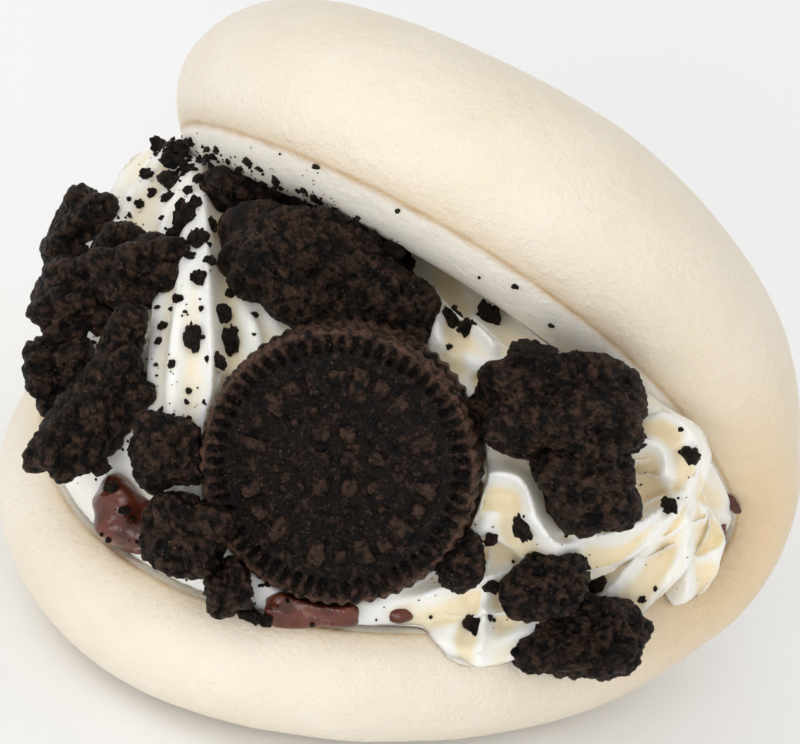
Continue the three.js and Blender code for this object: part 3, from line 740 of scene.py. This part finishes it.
backAt = cookie["wafer"] + cookie["filling"]
profile = [(0.5 * cookieRadius, backAt), (0.9 * cookieRadius, backAt)]
profile += corner(0.965, backAt, 0.035, 0.9, np.linspace(0, math.pi / 2, 7))
profile += [(cookieRadius, backAt + k) for k in np.linspace(1.1, 2.7, 8)]
profile += backCorner(0.95, backAt + 2.7, 0.05, 1.1, np.linspace(0.2, math.pi / 2, 7))
profile += [(0.5 * cookieRadius, backAt + 3.8)]
points, faces, *_ = disc(profile, cookie["around"], edgeRidges)
rough = 0.07 * smoothNoise(points, 1.4, 44) + 0.07 * (0.6 - grains(points, 0.7, 45))
points = points + np.outer(rough, cookieOut)
makePiece("waferBack", points, faces, waferMaterial, ["cookie_wafer_back"],
          attributes={"relief": np.full(len(points), 0.8)})

fill = cookie["fillingRadius"]
fillEdge = [(0.5, 4.1), (0.96, 4.1), (1, 4.5), (1.01, 5.5), (1, 6.5), (0.96, 6.9), (0.5, 6.9)]
points, faces, *_ = disc([(r * fill, z) for r, z in fillEdge], 180)
points = points + np.outer(0.12 * smoothNoise(points, 4, 46), cookieUp)
makePiece("cookieCreamDisc", points, faces, fillingMaterial, ["cookie_filling"])

outerEdge = cookieRadius + cookie["gap"]
profile = [(0.97 * cookieRadius, -cookie["gap"]), (outerEdge, 1.0), (outerEdge, backAt + 3.0)]
profile += [(0.96 * cookieRadius, backAt + 4.1)]
points, faces, *_ = disc(profile, 96)
cookieRoom = makePiece("cookieRoom", points, faces, None)
print("cookie done")

sauce = {
    "reach": 0.84, "foldEdge": 9.0, "middle": -25.0, "low": 0.4, "high": 3.6, "around": 200,
    "bulges": [(-98, 0.13, 12), (-65, 0.13, 10), (-47, 0.12, 5), (0, 0.13, 22)],  # degrees, more reach, width
    "drops": [  # place, half sizes and turn, as the broken cookie's
        ((-32.5, -7.5, -16), (6.5, 5.5, 6.5), -25),
        ((-5, -22.5, -9), (7, 3, 4), 0),
        ((58.5, -8, -41.5), (4.5, 8, 4.5), -20),
    ],
    "cornerDrop": ((60.4, -4.4), (1.0, 3.6, 1.2), 30),  # lies on the dough where that sight line meets it
    "voxel": 0.0005, "smoothing": 5,
}


def sauceRing(f, h, t):
    # outline of the sheet on the bottom flap, scaled about its middle and raised by h
    n = np.sin(t)
    deg = np.degrees(np.where(t > math.pi, t - 2 * math.pi, t))
    more = sum(extra * np.exp(-(((deg - at) / wide) ** 2)) for at, extra, wide in sauce["bulges"])
    reach = sauce["reach"] + more
    p = dough["halfLength"] * reach * np.cos(t)
    q = (dough["bottomReach"] * reach - sauce["foldEdge"]) * n - sauce["foldEdge"]
    q = np.where(n > 0, -sauce["foldEdge"], q)
    return wrap(p * f, sauce["middle"] + (q - sauce["middle"]) * f, -h + 0 * p)


t = np.linspace(0, 2 * math.pi, sauce["around"], endpoint=False)
halfway, halfThick = (sauce["low"] + sauce["high"]) / 2, (sauce["high"] - sauce["low"]) / 2
roundEdge = np.linspace(0.2, math.pi - 0.2, 9)
sections = [(f, sauce["low"]) for f in np.linspace(0.05, 0.96, 14)]
sections += [(0.96 + 0.04 * math.sin(a), halfway - halfThick * math.cos(a)) for a in roundEdge]
sections += [(f, sauce["high"]) for f in np.linspace(0.96, 0.05, 14)]
rings = [sauceRing(f, h, t) for f, h in sections]
ends = [wrap(np.zeros(1), np.full(1, sauce["middle"]), np.full(1, -h)) for h in (sauce["low"], sauce["high"])]
faces = stackFaces(len(sections), sauce["around"])
saucePiece = makePiece("sauce", np.concatenate(rings + ends), faces, sauceMaterial)
bunTree = BVHTree.FromObject(bunPiece, bpy.context.evaluated_depsgraph_get())
spot, half, turn = sauce["cornerDrop"]
hit = bunTree.ray_cast(*sightLine(*spot))[0]
cornerDrop = (tuple(inFacing(np.array(hit) / mm - stand)), half, turn)
for index, (at, half, turn) in enumerate([*sauce["drops"], cornerDrop]):
    points, faces, _ = nugget(90 + index, at, half, turn, 40, 64)
    combine(saucePiece, makePiece("drop", points, faces, None), "UNION")
combine(saucePiece, copyOf(bunRoom), "DIFFERENCE")
combine(saucePiece, copyOf(cookieRoom), "DIFFERENCE")
voxelRemesh(saucePiece, "soften", sauce["voxel"])
relax = saucePiece.modifiers.new("relax", "SMOOTH")
relax.iterations = sauce["smoothing"]
onlyMaterial(saucePiece.data, sauceMaterial)
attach(saucePiece, "root")
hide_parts("chocolate_sauce")
print("sauce done")

mound = {
    "contact": 43.0, "contactBlend": 6, "topShare": 0.97, "inset": 0.985, "frontGap": 0.35, "backGap": 0.55,
    "rise": 30.0, "topRise": 6.0, "topOut": 18.0, "leftOut": 10.0,
    "columns": 110, "frontRows": 80, "backRows": 50,
    "voxel": 0.00062,
}


def moundEdges(t):
    # p and q where the cream meets the bottom crease, and q on the top flap: a soft least of crease and contact
    n = np.sin(t)
    p = mound["inset"] * dough["halfLength"] * np.cos(t)
    blend = mound["contactBlend"]
    near = np.exp(-mound["topShare"] * dough["topReach"] * n / blend) + math.exp(-mound["contact"] / blend)
    return p, -mound["inset"] * dough["bottomReach"] * n, np.maximum(0, -blend * np.log(near))


def moundFront(t, v):
    # cubic curve from the bottom crease to the top flap, pulled up and out in the middle
    p, bottom, top = moundEdges(t)
    c, n = np.cos(t), np.sin(t)
    low, high = wrap(p, bottom, -mound["frontGap"] + 0 * p), wrap(p, top, -mound["frontGap"] + 0 * p)
    full = np.maximum(n, 0) ** 0.6
    left = np.maximum(-c, 0)
    away = np.stack([c, -n, 0 * n], -1)
    lift = np.stack([0 * n, 0 * n, full], -1)
    lowPull = low + mound["rise"] * lift + away * (mound["leftOut"] * left * full)[..., None]
    highPull = high + mound["topRise"] * lift + away * (mound["topOut"] * full * (1 - 0.35 * left))[..., None]
    v = v[..., None]
    return low * (1 - v) ** 3 + lowPull * 3 * (1 - v) ** 2 * v + highPull * 3 * (1 - v) * v * v + high * v ** 3


t = math.pi * np.arange(1, mound["columns"]) / mound["columns"]
v = np.linspace(0, 1, mound["frontRows"], endpoint=False)
tt, vv = np.meshgrid(t, v, indexing="ij")
p, bottom, top = moundEdges(t)
w = np.linspace(0, 1, mound["backRows"], endpoint=False)[None, :]
backQ = top[:, None] * (1 - w) + bottom[:, None] * w
loops = np.concatenate([moundFront(tt, vv), wrap(p[:, None] + 0 * w, backQ, -mound["backGap"] + 0 * backQ)], 1)
points = np.concatenate([loops.reshape(-1, 3), loops[:1].mean(1), loops[-1:].mean(1)])
faces = stackFaces(mound["columns"] - 1, mound["frontRows"] + mound["backRows"])
creamPiece = makePiece("whippedCream", points, faces, creamMaterial)

ropeShape = {
    "tip": 0.45, "twist": 40, "flute": 0.16, "sharpness": 3.0, "ragged": 0.25,
    "rows": 56, "around": 96,
}
ropes = [
    {"path": [(-23, 49, -56), (-22.5, 37, -34), (-22.5, 23, -20), (-24, 7, -12), (-24.5, -6, -11)],
     "radius": 6.5},
    {"path": [(-33, 42, -47), (-36, 29.5, -36), (-37, 15, -29), (-35, 5, -23), (-31, 0, -18)], "radius": 6},
    {"path": [(-22, 49, -56), (-28, 46, -51), (-32, 41, -48), (-33, 36, -44)], "radius": 6},
    {"path": [(-16, 36, -33), (-14, 21, -18), (-14, 7, -10)], "radius": 5},
    {"path": [(13.5, 25, -25), (17, 19, -15.5), (25, 13, -12.5), (35, 11, -14)], "radius": 5.5},
    {"path": [(44, 4, -12), (52, 3, -16), (55.5, -2, -22)], "radius": 5.5},
    {"path": [(16, -6, -8), (24, -6, -8), (31, -9, -10.5), (36, -13, -15), (43, -14, -22)], "radius": 5.5},
    {"path": [(9, -20, -13), (17, -20, -14), (25, -20, -16), (33, -19, -18)], "radius": 5},
    {"path": [(57, -6, -24), (51, -8, -20), (44, -11, -18), (37, -13, -15)], "radius": 4.5, "tip": 0.3},
    {"path": [(57, -7, -25), (52, -13, -25), (46, -20, -27), (40, -25, -27)], "radius": 4.5, "tip": 0.3},
    {"path": [(58.5, -9, -28), (57, -15, -33), (53, -22, -35)], "radius": 4, "tip": 0.3},
    {"path": [(15, -24.5, -13), (21.5, -28, -14.5), (29, -26, -18), (36, -23, -20)], "radius": 4},
]


def catmull(points, u):
    # smooth curve through the points, each span a cubic of its four nearest; u from 0 to 1 over all of them
    k = len(points) - 1
    ext = np.concatenate([[2 * points[0] - points[1]], points, [2 * points[-1] - points[-2]]])
    i = np.minimum((u * k).astype(int), k - 1)
    f = (u * k - i)[:, None]
    a, b, c, d = ext[i], ext[i + 1], ext[i + 2], ext[i + 3]
    return 0.5 * (2 * b + (c - a) * f + (2 * a - 5 * b + 4 * c - d) * f * f + (3 * b - a - 3 * c + d) * f ** 3)


def creamRope(seed, path, radius, tip=ropeShape["tip"]):
    # six-fluted star with sharp crests and broad valleys, carried along the path and thinner at its ends
    rows, around = ropeShape["rows"], ropeShape["around"]
    knots = face(*np.array(path, dtype=float).T)
    u = np.linspace(0, 1, rows)
    at = catmull(knots, u)
    tangent = np.gradient(at, axis=0)
    tangent /= np.linalg.norm(tangent, axis=1, keepdims=True)
    side = np.cross(tangent, facingOut)
    side /= np.linalg.norm(side, axis=1, keepdims=True)
    up = np.cross(side, tangent)
    size = radius * (tip + (1 - tip) * np.sin(math.pi * np.clip(u * 0.9 + 0.08, 0, 1)) ** 0.6)
    a = np.linspace(0, 2 * math.pi, around, endpoint=False)
    uu, aa = np.meshgrid(u, a, indexing="ij")
    wobble = 0.35 * np.sin(5 * uu + seed) + math.radians(ropeShape["twist"]) * uu
    crest = np.abs(np.cos(3 * aa)) ** ropeShape["sharpness"]
    fluteNumber = np.floor(aa.ravel() / (math.pi / 3) + 0.5)
    alongFlutes = np.stack([uu.ravel() * 14, fluteNumber, 0 * aa.ravel() + seed], 1)
    ragged = 1 + ropeShape["ragged"] * smoothNoise(alongFlutes, 1.0, seed).reshape(aa.shape)
    r = size[:, None] * (1 - ropeShape["flute"] + 2 * ropeShape["flute"] * crest * ragged)
    b = aa + wobble
    points = at[:, None] + side[:, None] * (r * np.cos(b))[..., None] + up[:, None] * (r * np.sin(b))[..., None]
    ends = np.stack([at[0] - tangent[0] * radius * 0.4, at[-1] + tangent[-1] * radius * 0.5])
    return np.concatenate([points.reshape(-1, 3), ends]), stackFaces(rows, around)


for index, rope in enumerate(ropes):
    points, faces = creamRope(index + 1, **rope)
    combine(creamPiece, makePiece("rope", points, faces, None), "UNION")
combine(creamPiece, bunRoom, "DIFFERENCE")
combine(creamPiece, cookieRoom, "DIFFERENCE")

crestShape = {
    "sharpness": 3.0, "gain": 2.0, "nearWidth": 1.3, "troughAt": 0.5, "troughWidth": 0.3,
    "base": 1.6, "trough": 1.5, "up": 0.25, "evening": 24, "steps": 30,
}
# right and up along each crest, its height and width, and 1 or -1 for the side that is steep
crests = [
    {"line": [(-20.5, 43.5), (-19.8, 28), (-19.3, 17), (-19, 6)], "steep": -1, "high": 2.2, "wide": 6},
    {"line": [(-30, 51), (-26, 49), (-24, 44), (-27, 38)], "high": 2.0, "wide": 6},
    {"line": [(15, 27), (15.4, 22), (15.2, 17)], "steep": -1, "high": 1.8, "wide": 6},
    {"line": [(21, 23), (23.5, 19.5), (24.5, 17)], "high": 2.0, "wide": 5},
    {"line": [(24.5, 15.5), (28, 16.5), (32.5, 17.3)], "steep": 1, "high": 1.6, "wide": 5},
    {"line": [(46.5, 9), (51, 8), (55, 4), (57, -2)], "steep": 1, "high": 1.6, "wide": 6},
    {"line": [(44, 2), (45.5, 2.6), (48, 3.6), (50.2, 2), (50.8, -2.5)], "steep": 1, "high": 2.8, "wide": 5},
    {"line": [(54.5, -3.5), (50, -7), (46.5, -9.3), (42, -11), (38, -10.7)],
     "steep": -1, "high": 3.0, "wide": 6},
    {"line": [(54.7, -4), (51, -8), (46.5, -14), (42.5, -18.8), (37.5, -22)],
     "steep": -1, "high": 2.6, "wide": 6},
    {"line": [(54.8, -4.5), (54, -12.5), (54, -18.8), (53, -22.5)], "steep": -1, "high": 2.6, "wide": 6},
    {"line": [(55.7, -5.7), (61.5, -9.2), (58.8, -12.6), (53.8, -14.2)], "steep": 1, "high": 1.8, "wide": 4.5},
    {"line": [(17, -4.2), (22, -1.8), (28, -2.6), (30.3, -8), (33.4, -12.2), (37.2, -12)],
     "steep": 1, "high": 3.0, "wide": 6.5},
    {"line": [(12.6, -20.3), (17, -19), (23, -17.5), (30.6, -15.4)], "steep": 1, "high": 2.4, "wide": 6},
    {"line": [(23, -15), (22.5, -22), (21.7, -31.2)], "steep": 1, "high": 2.0, "wide": 5},
]


def crestField(spots):
    # for each spot: the highest crest there, falling off as a power of the distance from a smooth line and
    # towards its ends, twice as fast on its steep side; how near a crest is; and the trough on the steep side
    best, near, trough = np.zeros((3, len(spots)))
    each = np.arange(len(spots))
    for crest in crests:
        wide = crest["wide"]
        path = catmull(np.array(crest["line"], dtype=float), np.linspace(0, 1, crestShape["steps"]))
        start, step = path[:-1], path[1:] - path[:-1]
        rel = spots[:, None] - start[None]
        f = np.clip((rel * step[None]).sum(2) / (step ** 2).sum(1)[None], 0, 1)
        gap = rel - f[..., None] * step[None]
        distance = np.sqrt((gap ** 2).sum(2))
        pick = distance.argmin(1)
        d, s = distance[each, pick], (pick + f[each, pick]) / (crestShape["steps"] - 1)
        turn = step[pick, 0] * gap[each, pick, 1] - step[pick, 1] * gap[each, pick, 0]
        steep = smoothStep(-turn * crest["steep"], -0.1, 0.1) if "steep" in crest else 0.0
        fade = np.sin(math.pi * np.clip(0.12 + 0.78 * s, 0, 1)) ** 0.5
        fall = d * (1 + steep)
        shape = np.maximum(0, 1 - np.sqrt(fall * fall + 0.03) / wide) ** crestShape["sharpness"] * fade
        best = np.maximum(best, crestShape["gain"] * crest["high"] * shape)
        near = np.maximum(near, np.exp(-((d / (crestShape["nearWidth"] * wide)) ** 2)))
        fromTrough = (d - crestShape["troughAt"] * wide) / (crestShape["troughWidth"] * wide)
        trough = np.maximum(trough, steep * fade * np.exp(-(fromTrough ** 2)))
    return best, near, trough


def meshArrays(mesh):
    # the mesh's points, normals and edges as arrays
    points = np.empty(len(mesh.vertices) * 3)
    mesh.vertices.foreach_get("co", points)
    normals = np.empty(len(mesh.vertices) * 3)
    mesh.vertex_normals.foreach_get("vector", normals)
    edges = np.empty(len(mesh.edges) * 2, dtype=int)
    mesh.edges.foreach_get("vertices", edges)
    return points.reshape(-1, 3), normals.reshape(-1, 3), edges.reshape(-1, 2)


def averaged(values, edges, rounds):
    # each value moves halfway to the mean of its neighbours' values, a number of times
    count = np.bincount(edges.ravel(), minlength=len(values))[:, None]
    a, b = edges.T
    for _ in range(rounds):
        total = np.stack([np.bincount(a, column[b], len(values)) + np.bincount(b, column[a], len(values))
                          for column in values.T], 1)
        values = 0.5 * values + 0.5 * total / np.maximum(count, 1)
    return values


voxelRemesh(creamPiece, "even", mound["voxel"])
applyModifiers(creamPiece)
mesh = creamPiece.data
points, normals, edges = meshArrays(mesh)
points = averaged(points, edges, 2)
spots = seen(points / mm - stand)
crest, near, trough = crestField(spots)
even = averaged(points, edges, crestShape["evening"])
points = points + (even - points) * near[:, None]
front = smoothStep(normals @ facingOut, 0.0, 0.45)
push = (crest - crestShape["base"] * near - crestShape["trough"] * trough) * front
push += front * (0.25 * smoothNoise(points / mm, 6, 61) + 0.12 * smoothNoise(points / mm, 2.2, 62))
points = points + np.outer(push, facingOut + crestShape["up"] * facingUp) * mm
mesh.vertices.foreach_set("co", points.ravel())
mesh.update()
# painted warm shade, yellower in the hollows: the curvature, and the troughs, more so on the right
points, normals, edges = meshArrays(mesh)
hollowShade = ((averaged(points, edges, 60) - points) * normals).sum(1) / mm
# painted shade beside crests and in the troughs on their steep sides, where the surface faces the camera
shade = (0.4 * near + 0.8 * trough) * (1 - np.minimum(1, crest / 2.2)) * front
shade = shade * (0.25 + 0.75 * smoothStep(spots[:, 0], -8, 28))
layer = mesh.attributes.new("hollowShade", "FLOAT", "POINT")
layer.data.foreach_set("value", (0.8 * hollowShade + 0.9 * shade).astype(np.float32))
onlyMaterial(mesh, creamMaterial)
mesh.polygons.foreach_set("use_smooth", np.ones(len(mesh.polygons), dtype=bool))
mesh.update()
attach(creamPiece, "root")
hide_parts("whipped_cream")
print("cream done", len(mesh.polygons))

crumbs = {
    # right, up, half width and half height of the larger crumbs, as seen from the camera
    "spots": [
        (17.8, 23.5, 1.6, 1.9), (20, 22, 1.5, 1.3), (23.2, 23, 1.8, 2.4), (30.5, 17.8, 3.6, 1.5),
        (27, 16.3, 0.8, 0.8), (17, 18.6, 0.6, 0.5), (54.5, 2.3, 1.6, 1.5), (51, -5.7, 1.3, 1.5),
        (28.8, -9, 1.4, 2.3), (23.7, -10.8, 1.2, 1.1), (39.8, -17.2, 1.5, 1.9), (20.8, -23.6, 1.6, 1.8),
        (23.4, -18.2, 1.4, 1.3), (-21.2, 29.2, 1.3, 1.3), (-18, 23.6, 1.6, 1.6), (-17, 19.2, 1.4, 2.3),
        (-18.8, 16.3, 1.1, 1.6), (-26.7, 21.8, 1, 0.7), (-22.2, 19.8, 1.4, 2.5), (-27.8, 50, 1.2, 1.2),
        (-25, 47.4, 2.2, 1.5), (-25.4, 44, 2, 2), (-23.2, 38.5, 1.9, 2.6), (-21.2, 35, 1.5, 1.8),
        (-21.8, 40.5, 1.3, 1.3), (-29.5, 45.3, 1.1, 0.9), (-20, 32, 1, 0.9), (-24.5, 26, 0.9, 0.8),
        (-16.5, 26.8, 0.8, 0.9), (-25.5, 16, 0.7, 0.7), (-15.8, 21, 0.9, 0.8), (-12, 46.2, 0.7, 0.5),
        (-6, 42.8, 0.5, 0.4), (-2.5, 41, 0.6, 0.4), (1, 38.2, 0.5, 0.4), (4.6, 36.4, 0.4, 0.4),
        (8, 33.5, 1.9, 1.8), (10.4, 31, 1.6, 1.9), (4.5, 35.2, 1.6, 1.2), (11.5, 27.5, 1.2, 1.5),
        (-23, 46, 1.5, 1.0), (-26, 41.5, 1.2, 1.0), (-21, 44.5, 1.1, 0.9), (-24.8, 36.2, 1.4, 1.1),
        (-28.6, 42.3, 0.9, 0.8), (-30.8, 40.6, 0.8, 0.8), (-23, 42.6, 0.8, 1.0), (-19.6, 37.4, 0.9, 1.3),
        (-22.6, 32.6, 0.9, 0.7), (-36.5, 0.5, 1.6, 1.4), (-34.8, -3.2, 1.2, 1), (-33, -6.6, 0.9, 0.8),
        (-13.5, -22.8, 2.2, 1.4), (-11, -23.6, 1.3, 1.1), (36.5, 17.2, 1, 0.8), (33, 22, 0.5, 0.4),
        (44.6, 13.4, 0.7, 0.6), (27.5, 28, 0.6, 0.5), (47, -20.3, 0.7, 0.6),
    ],
    "seam": [(-27, 51), (-17, 46.5), (-7, 42.5), (3, 37), (10, 32)],  # every fifth speck is tried along it
    "seamSpread": 1.1, "tries": 3200, "smallest": 0.12, "range": 0.7,
    "clearOfCookie": 20, "closeTo": 7, "thinning": 4.5, "shade": 0.6,
}
depsgraph = bpy.context.evaluated_depsgraph_get()
underCrumbs = [creamPiece, bunPiece, saucePiece, waferPiece, *chunkPieces]
trees = {piece.name: BVHTree.FromObject(piece, depsgraph) for piece in underCrumbs}


def frontmost(r, u):
    # first surface met on the sight line through that spot of the cookie's plane: its name, place and normal
    best, nearest = None, math.inf
    for name, tree in trees.items():
        hit, normal, _, distance = tree.ray_cast(*sightLine(r, u))
        if hit is not None and distance < nearest:
            best, nearest = (name, np.array(hit) / mm - stand, np.array(normal)), distance
    return best


def crumbBase(seed, rows, around):
    # small lumpy nugget about the origin
    points, faces, _ = nugget(seed, (0, 0, 0), (1, 1, 1), 0, rows, around)
    return inFacing(points), faces


shapes = []
for k in range(5):
    base, baseFaces = crumbBase(50 + k, 9, 14)
    ledges = 0.55 * (0.5 - grains(base, 0.75, 70 + k)) + 0.22 * (0.5 - grains(base, 0.33, 80 + k))
    shapes.append(base * (0.95 + 1.1 * ledges)[:, None])
fineBase, fineFaces = crumbBase(60, 3, 5)
chunkPlaces = np.array([at for at, _, _ in brokenCookie.values()], dtype=float)
chunkSpots = seen(facingMiddle + chunkPlaces @ facingAxes.T)
seam = np.array(crumbs["seam"], dtype=float)
rng = np.random.default_rng(7)
allPoints, allFaces, count = [], [], 0
for k, (r, u, a, b) in enumerate(crumbs["spots"]):
    found = frontmost(r, u)
    if found is None:
        continue
    _, at, normal = found
    shape = shapes[k % 5] * np.array([a, b, 0.8 * min(a, b)])
    x, y = turned(shape[:, 0], shape[:, 1], rng.uniform(-25, 25))
    x, y = x + 0.12 * a * smoothNoise(shape, 0.7, k), y + 0.12 * b * smoothNoise(shape, 0.7, k + 90)
    spot = np.outer(x, facingRight) + np.outer(y, facingUp) + np.outer(shape[:, 2], facingOut)
    allPoints.append(spot + at + normal * 0.3 * min(a, b))
    allFaces += [[i + count for i in f] for f in baseFaces]
    count += len(spot)
for k in range(1, crumbs["tries"] + 1):
    alongSeam = k % 5 == 0
    size = crumbs["smallest"] + crumbs["range"] * rng.random() ** 4
    if alongSeam:
        f = rng.random() ** 1.3
        r, u = catmull(seam, np.array([f]))[0] + rng.normal(size=2) * crumbs["seamSpread"]
        size = size * 1.3
    else:
        r, u = rng.uniform(-44, 62), rng.uniform(-31, 54)
    # more specks close to the broken pieces, none before the whole cookie, fewer on the right
    close = np.hypot(*(chunkSpots - (r, u)).T).min()
    likely = 0.03 + math.exp(-max(0, close - crumbs["closeTo"]) / crumbs["thinning"])
    if math.hypot(r, u) < crumbs["clearOfCookie"] or (not alongSeam and rng.random() > likely):
        continue
    found = frontmost(r, u)
    if found is None or found[0].startswith(("brokenCookie", "wafer")) or (r > 5 and rng.random() > 0.45):
        continue
    name, at, normal = found
    if name == "bunDough":
        # on the dough only where its inner face shows above the cream, fewer further up
        onInner = innerTree.find_nearest(Vector((at + stand) * mm))[3] < 1e-5
        if not onInner or u < 12 or rng.random() > 0.35:
            continue
    spin, _ = np.linalg.qr(rng.normal(size=(3, 3)))
    uneven = 1 + 0.25 * rng.normal(size=(len(fineBase), 1)).clip(-1, 1)
    shape = fineBase * uneven * (size * rng.uniform(0.6, 1.15, 3))
    allPoints.append(shape @ spin + at + normal * size * 0.35)
    allFaces += [[i + count for i in f] for f in fineFaces]
    count += len(fineBase)
crumbPiece = makePiece("crumbs", np.concatenate(allPoints), allFaces, chunkMaterial, smooth=False,
                       attributes={"relief": np.full(count, crumbs["shade"])})
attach(crumbPiece, "root")
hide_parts("whipped_cream")
print("crumbs done", len(allPoints))

stage = {
    "floorHalf": 3.0, "floorDrop": 0.0003, "worldColor": (1, 1, 1, 1), "worldStrength": 0.86,
    "lightDistance": 1.2, "lightTarget": (0, 0, 0.05),
}
lights = {
    "key": {"direction": (-0.45, -0.65, 1.0), "size": 0.4, "power": 1.4, "color": (1, 0.985, 0.96)},
    "front": {"direction": (0.40, -1.0, 0.22), "size": 0.8, "power": 4.8, "color": (1, 1, 1)},
}
half, drop = stage["floorHalf"], stage["floorDrop"]
mesh = bpy.data.meshes.new("floor")
corners = [(x * half, y * half, -drop) for x, y in ((-1, -1), (1, -1), (1, 1), (-1, 1))]
mesh.from_pydata(corners, [], [(0, 1, 2, 3)])
mesh.materials.append(cloudyMaterial("floorPaint", floorLook))
floor = bpy.data.objects.new("floor", mesh)
bpy.context.scene.collection.objects.link(floor)

cameraData = bpy.data.cameras.new("camera")
cameraData.sensor_width = camera["sensor"]
cameraData.lens = camera["sensor"] * camera["distance"] / (camera["scale"] * camera["imageWidth"])
cameraData.clip_end = camera["clipEnd"]
cameraObject = bpy.data.objects.new("camera", cameraData)
bpy.context.scene.collection.objects.link(cameraObject)
place = Matrix.Translation(Vector((cameraPlace + stand) * mm))
cameraObject.matrix_world = place @ Matrix(facingAxes.tolist()).to_4x4()
bpy.context.scene.camera = cameraObject


def areaLight(name, direction, size, power, color):
    # square light in that direction from the object's middle, aimed at it
    data = bpy.data.lights.new(name, "AREA")
    data.size = size
    data.energy = power
    data.color = color
    light = bpy.data.objects.new(name, data)
    bpy.context.scene.collection.objects.link(light)
    d = Vector(direction).normalized()
    light.location = d * stage["lightDistance"] + Vector(stage["lightTarget"])
    light.rotation_euler = d.to_track_quat("Z", "Y").to_euler()


for name, light in lights.items():
    areaLight(name, **light)
world = bpy.data.worlds.new("world")
world.use_nodes = True
background = world.node_tree.nodes["Background"]
background.inputs["Color"].default_value = stage["worldColor"]
background.inputs["Strength"].default_value = stage["worldStrength"]
bpy.context.scene.world = world
bpy.context.scene.view_settings.view_transform = "Standard"
print("stage done")
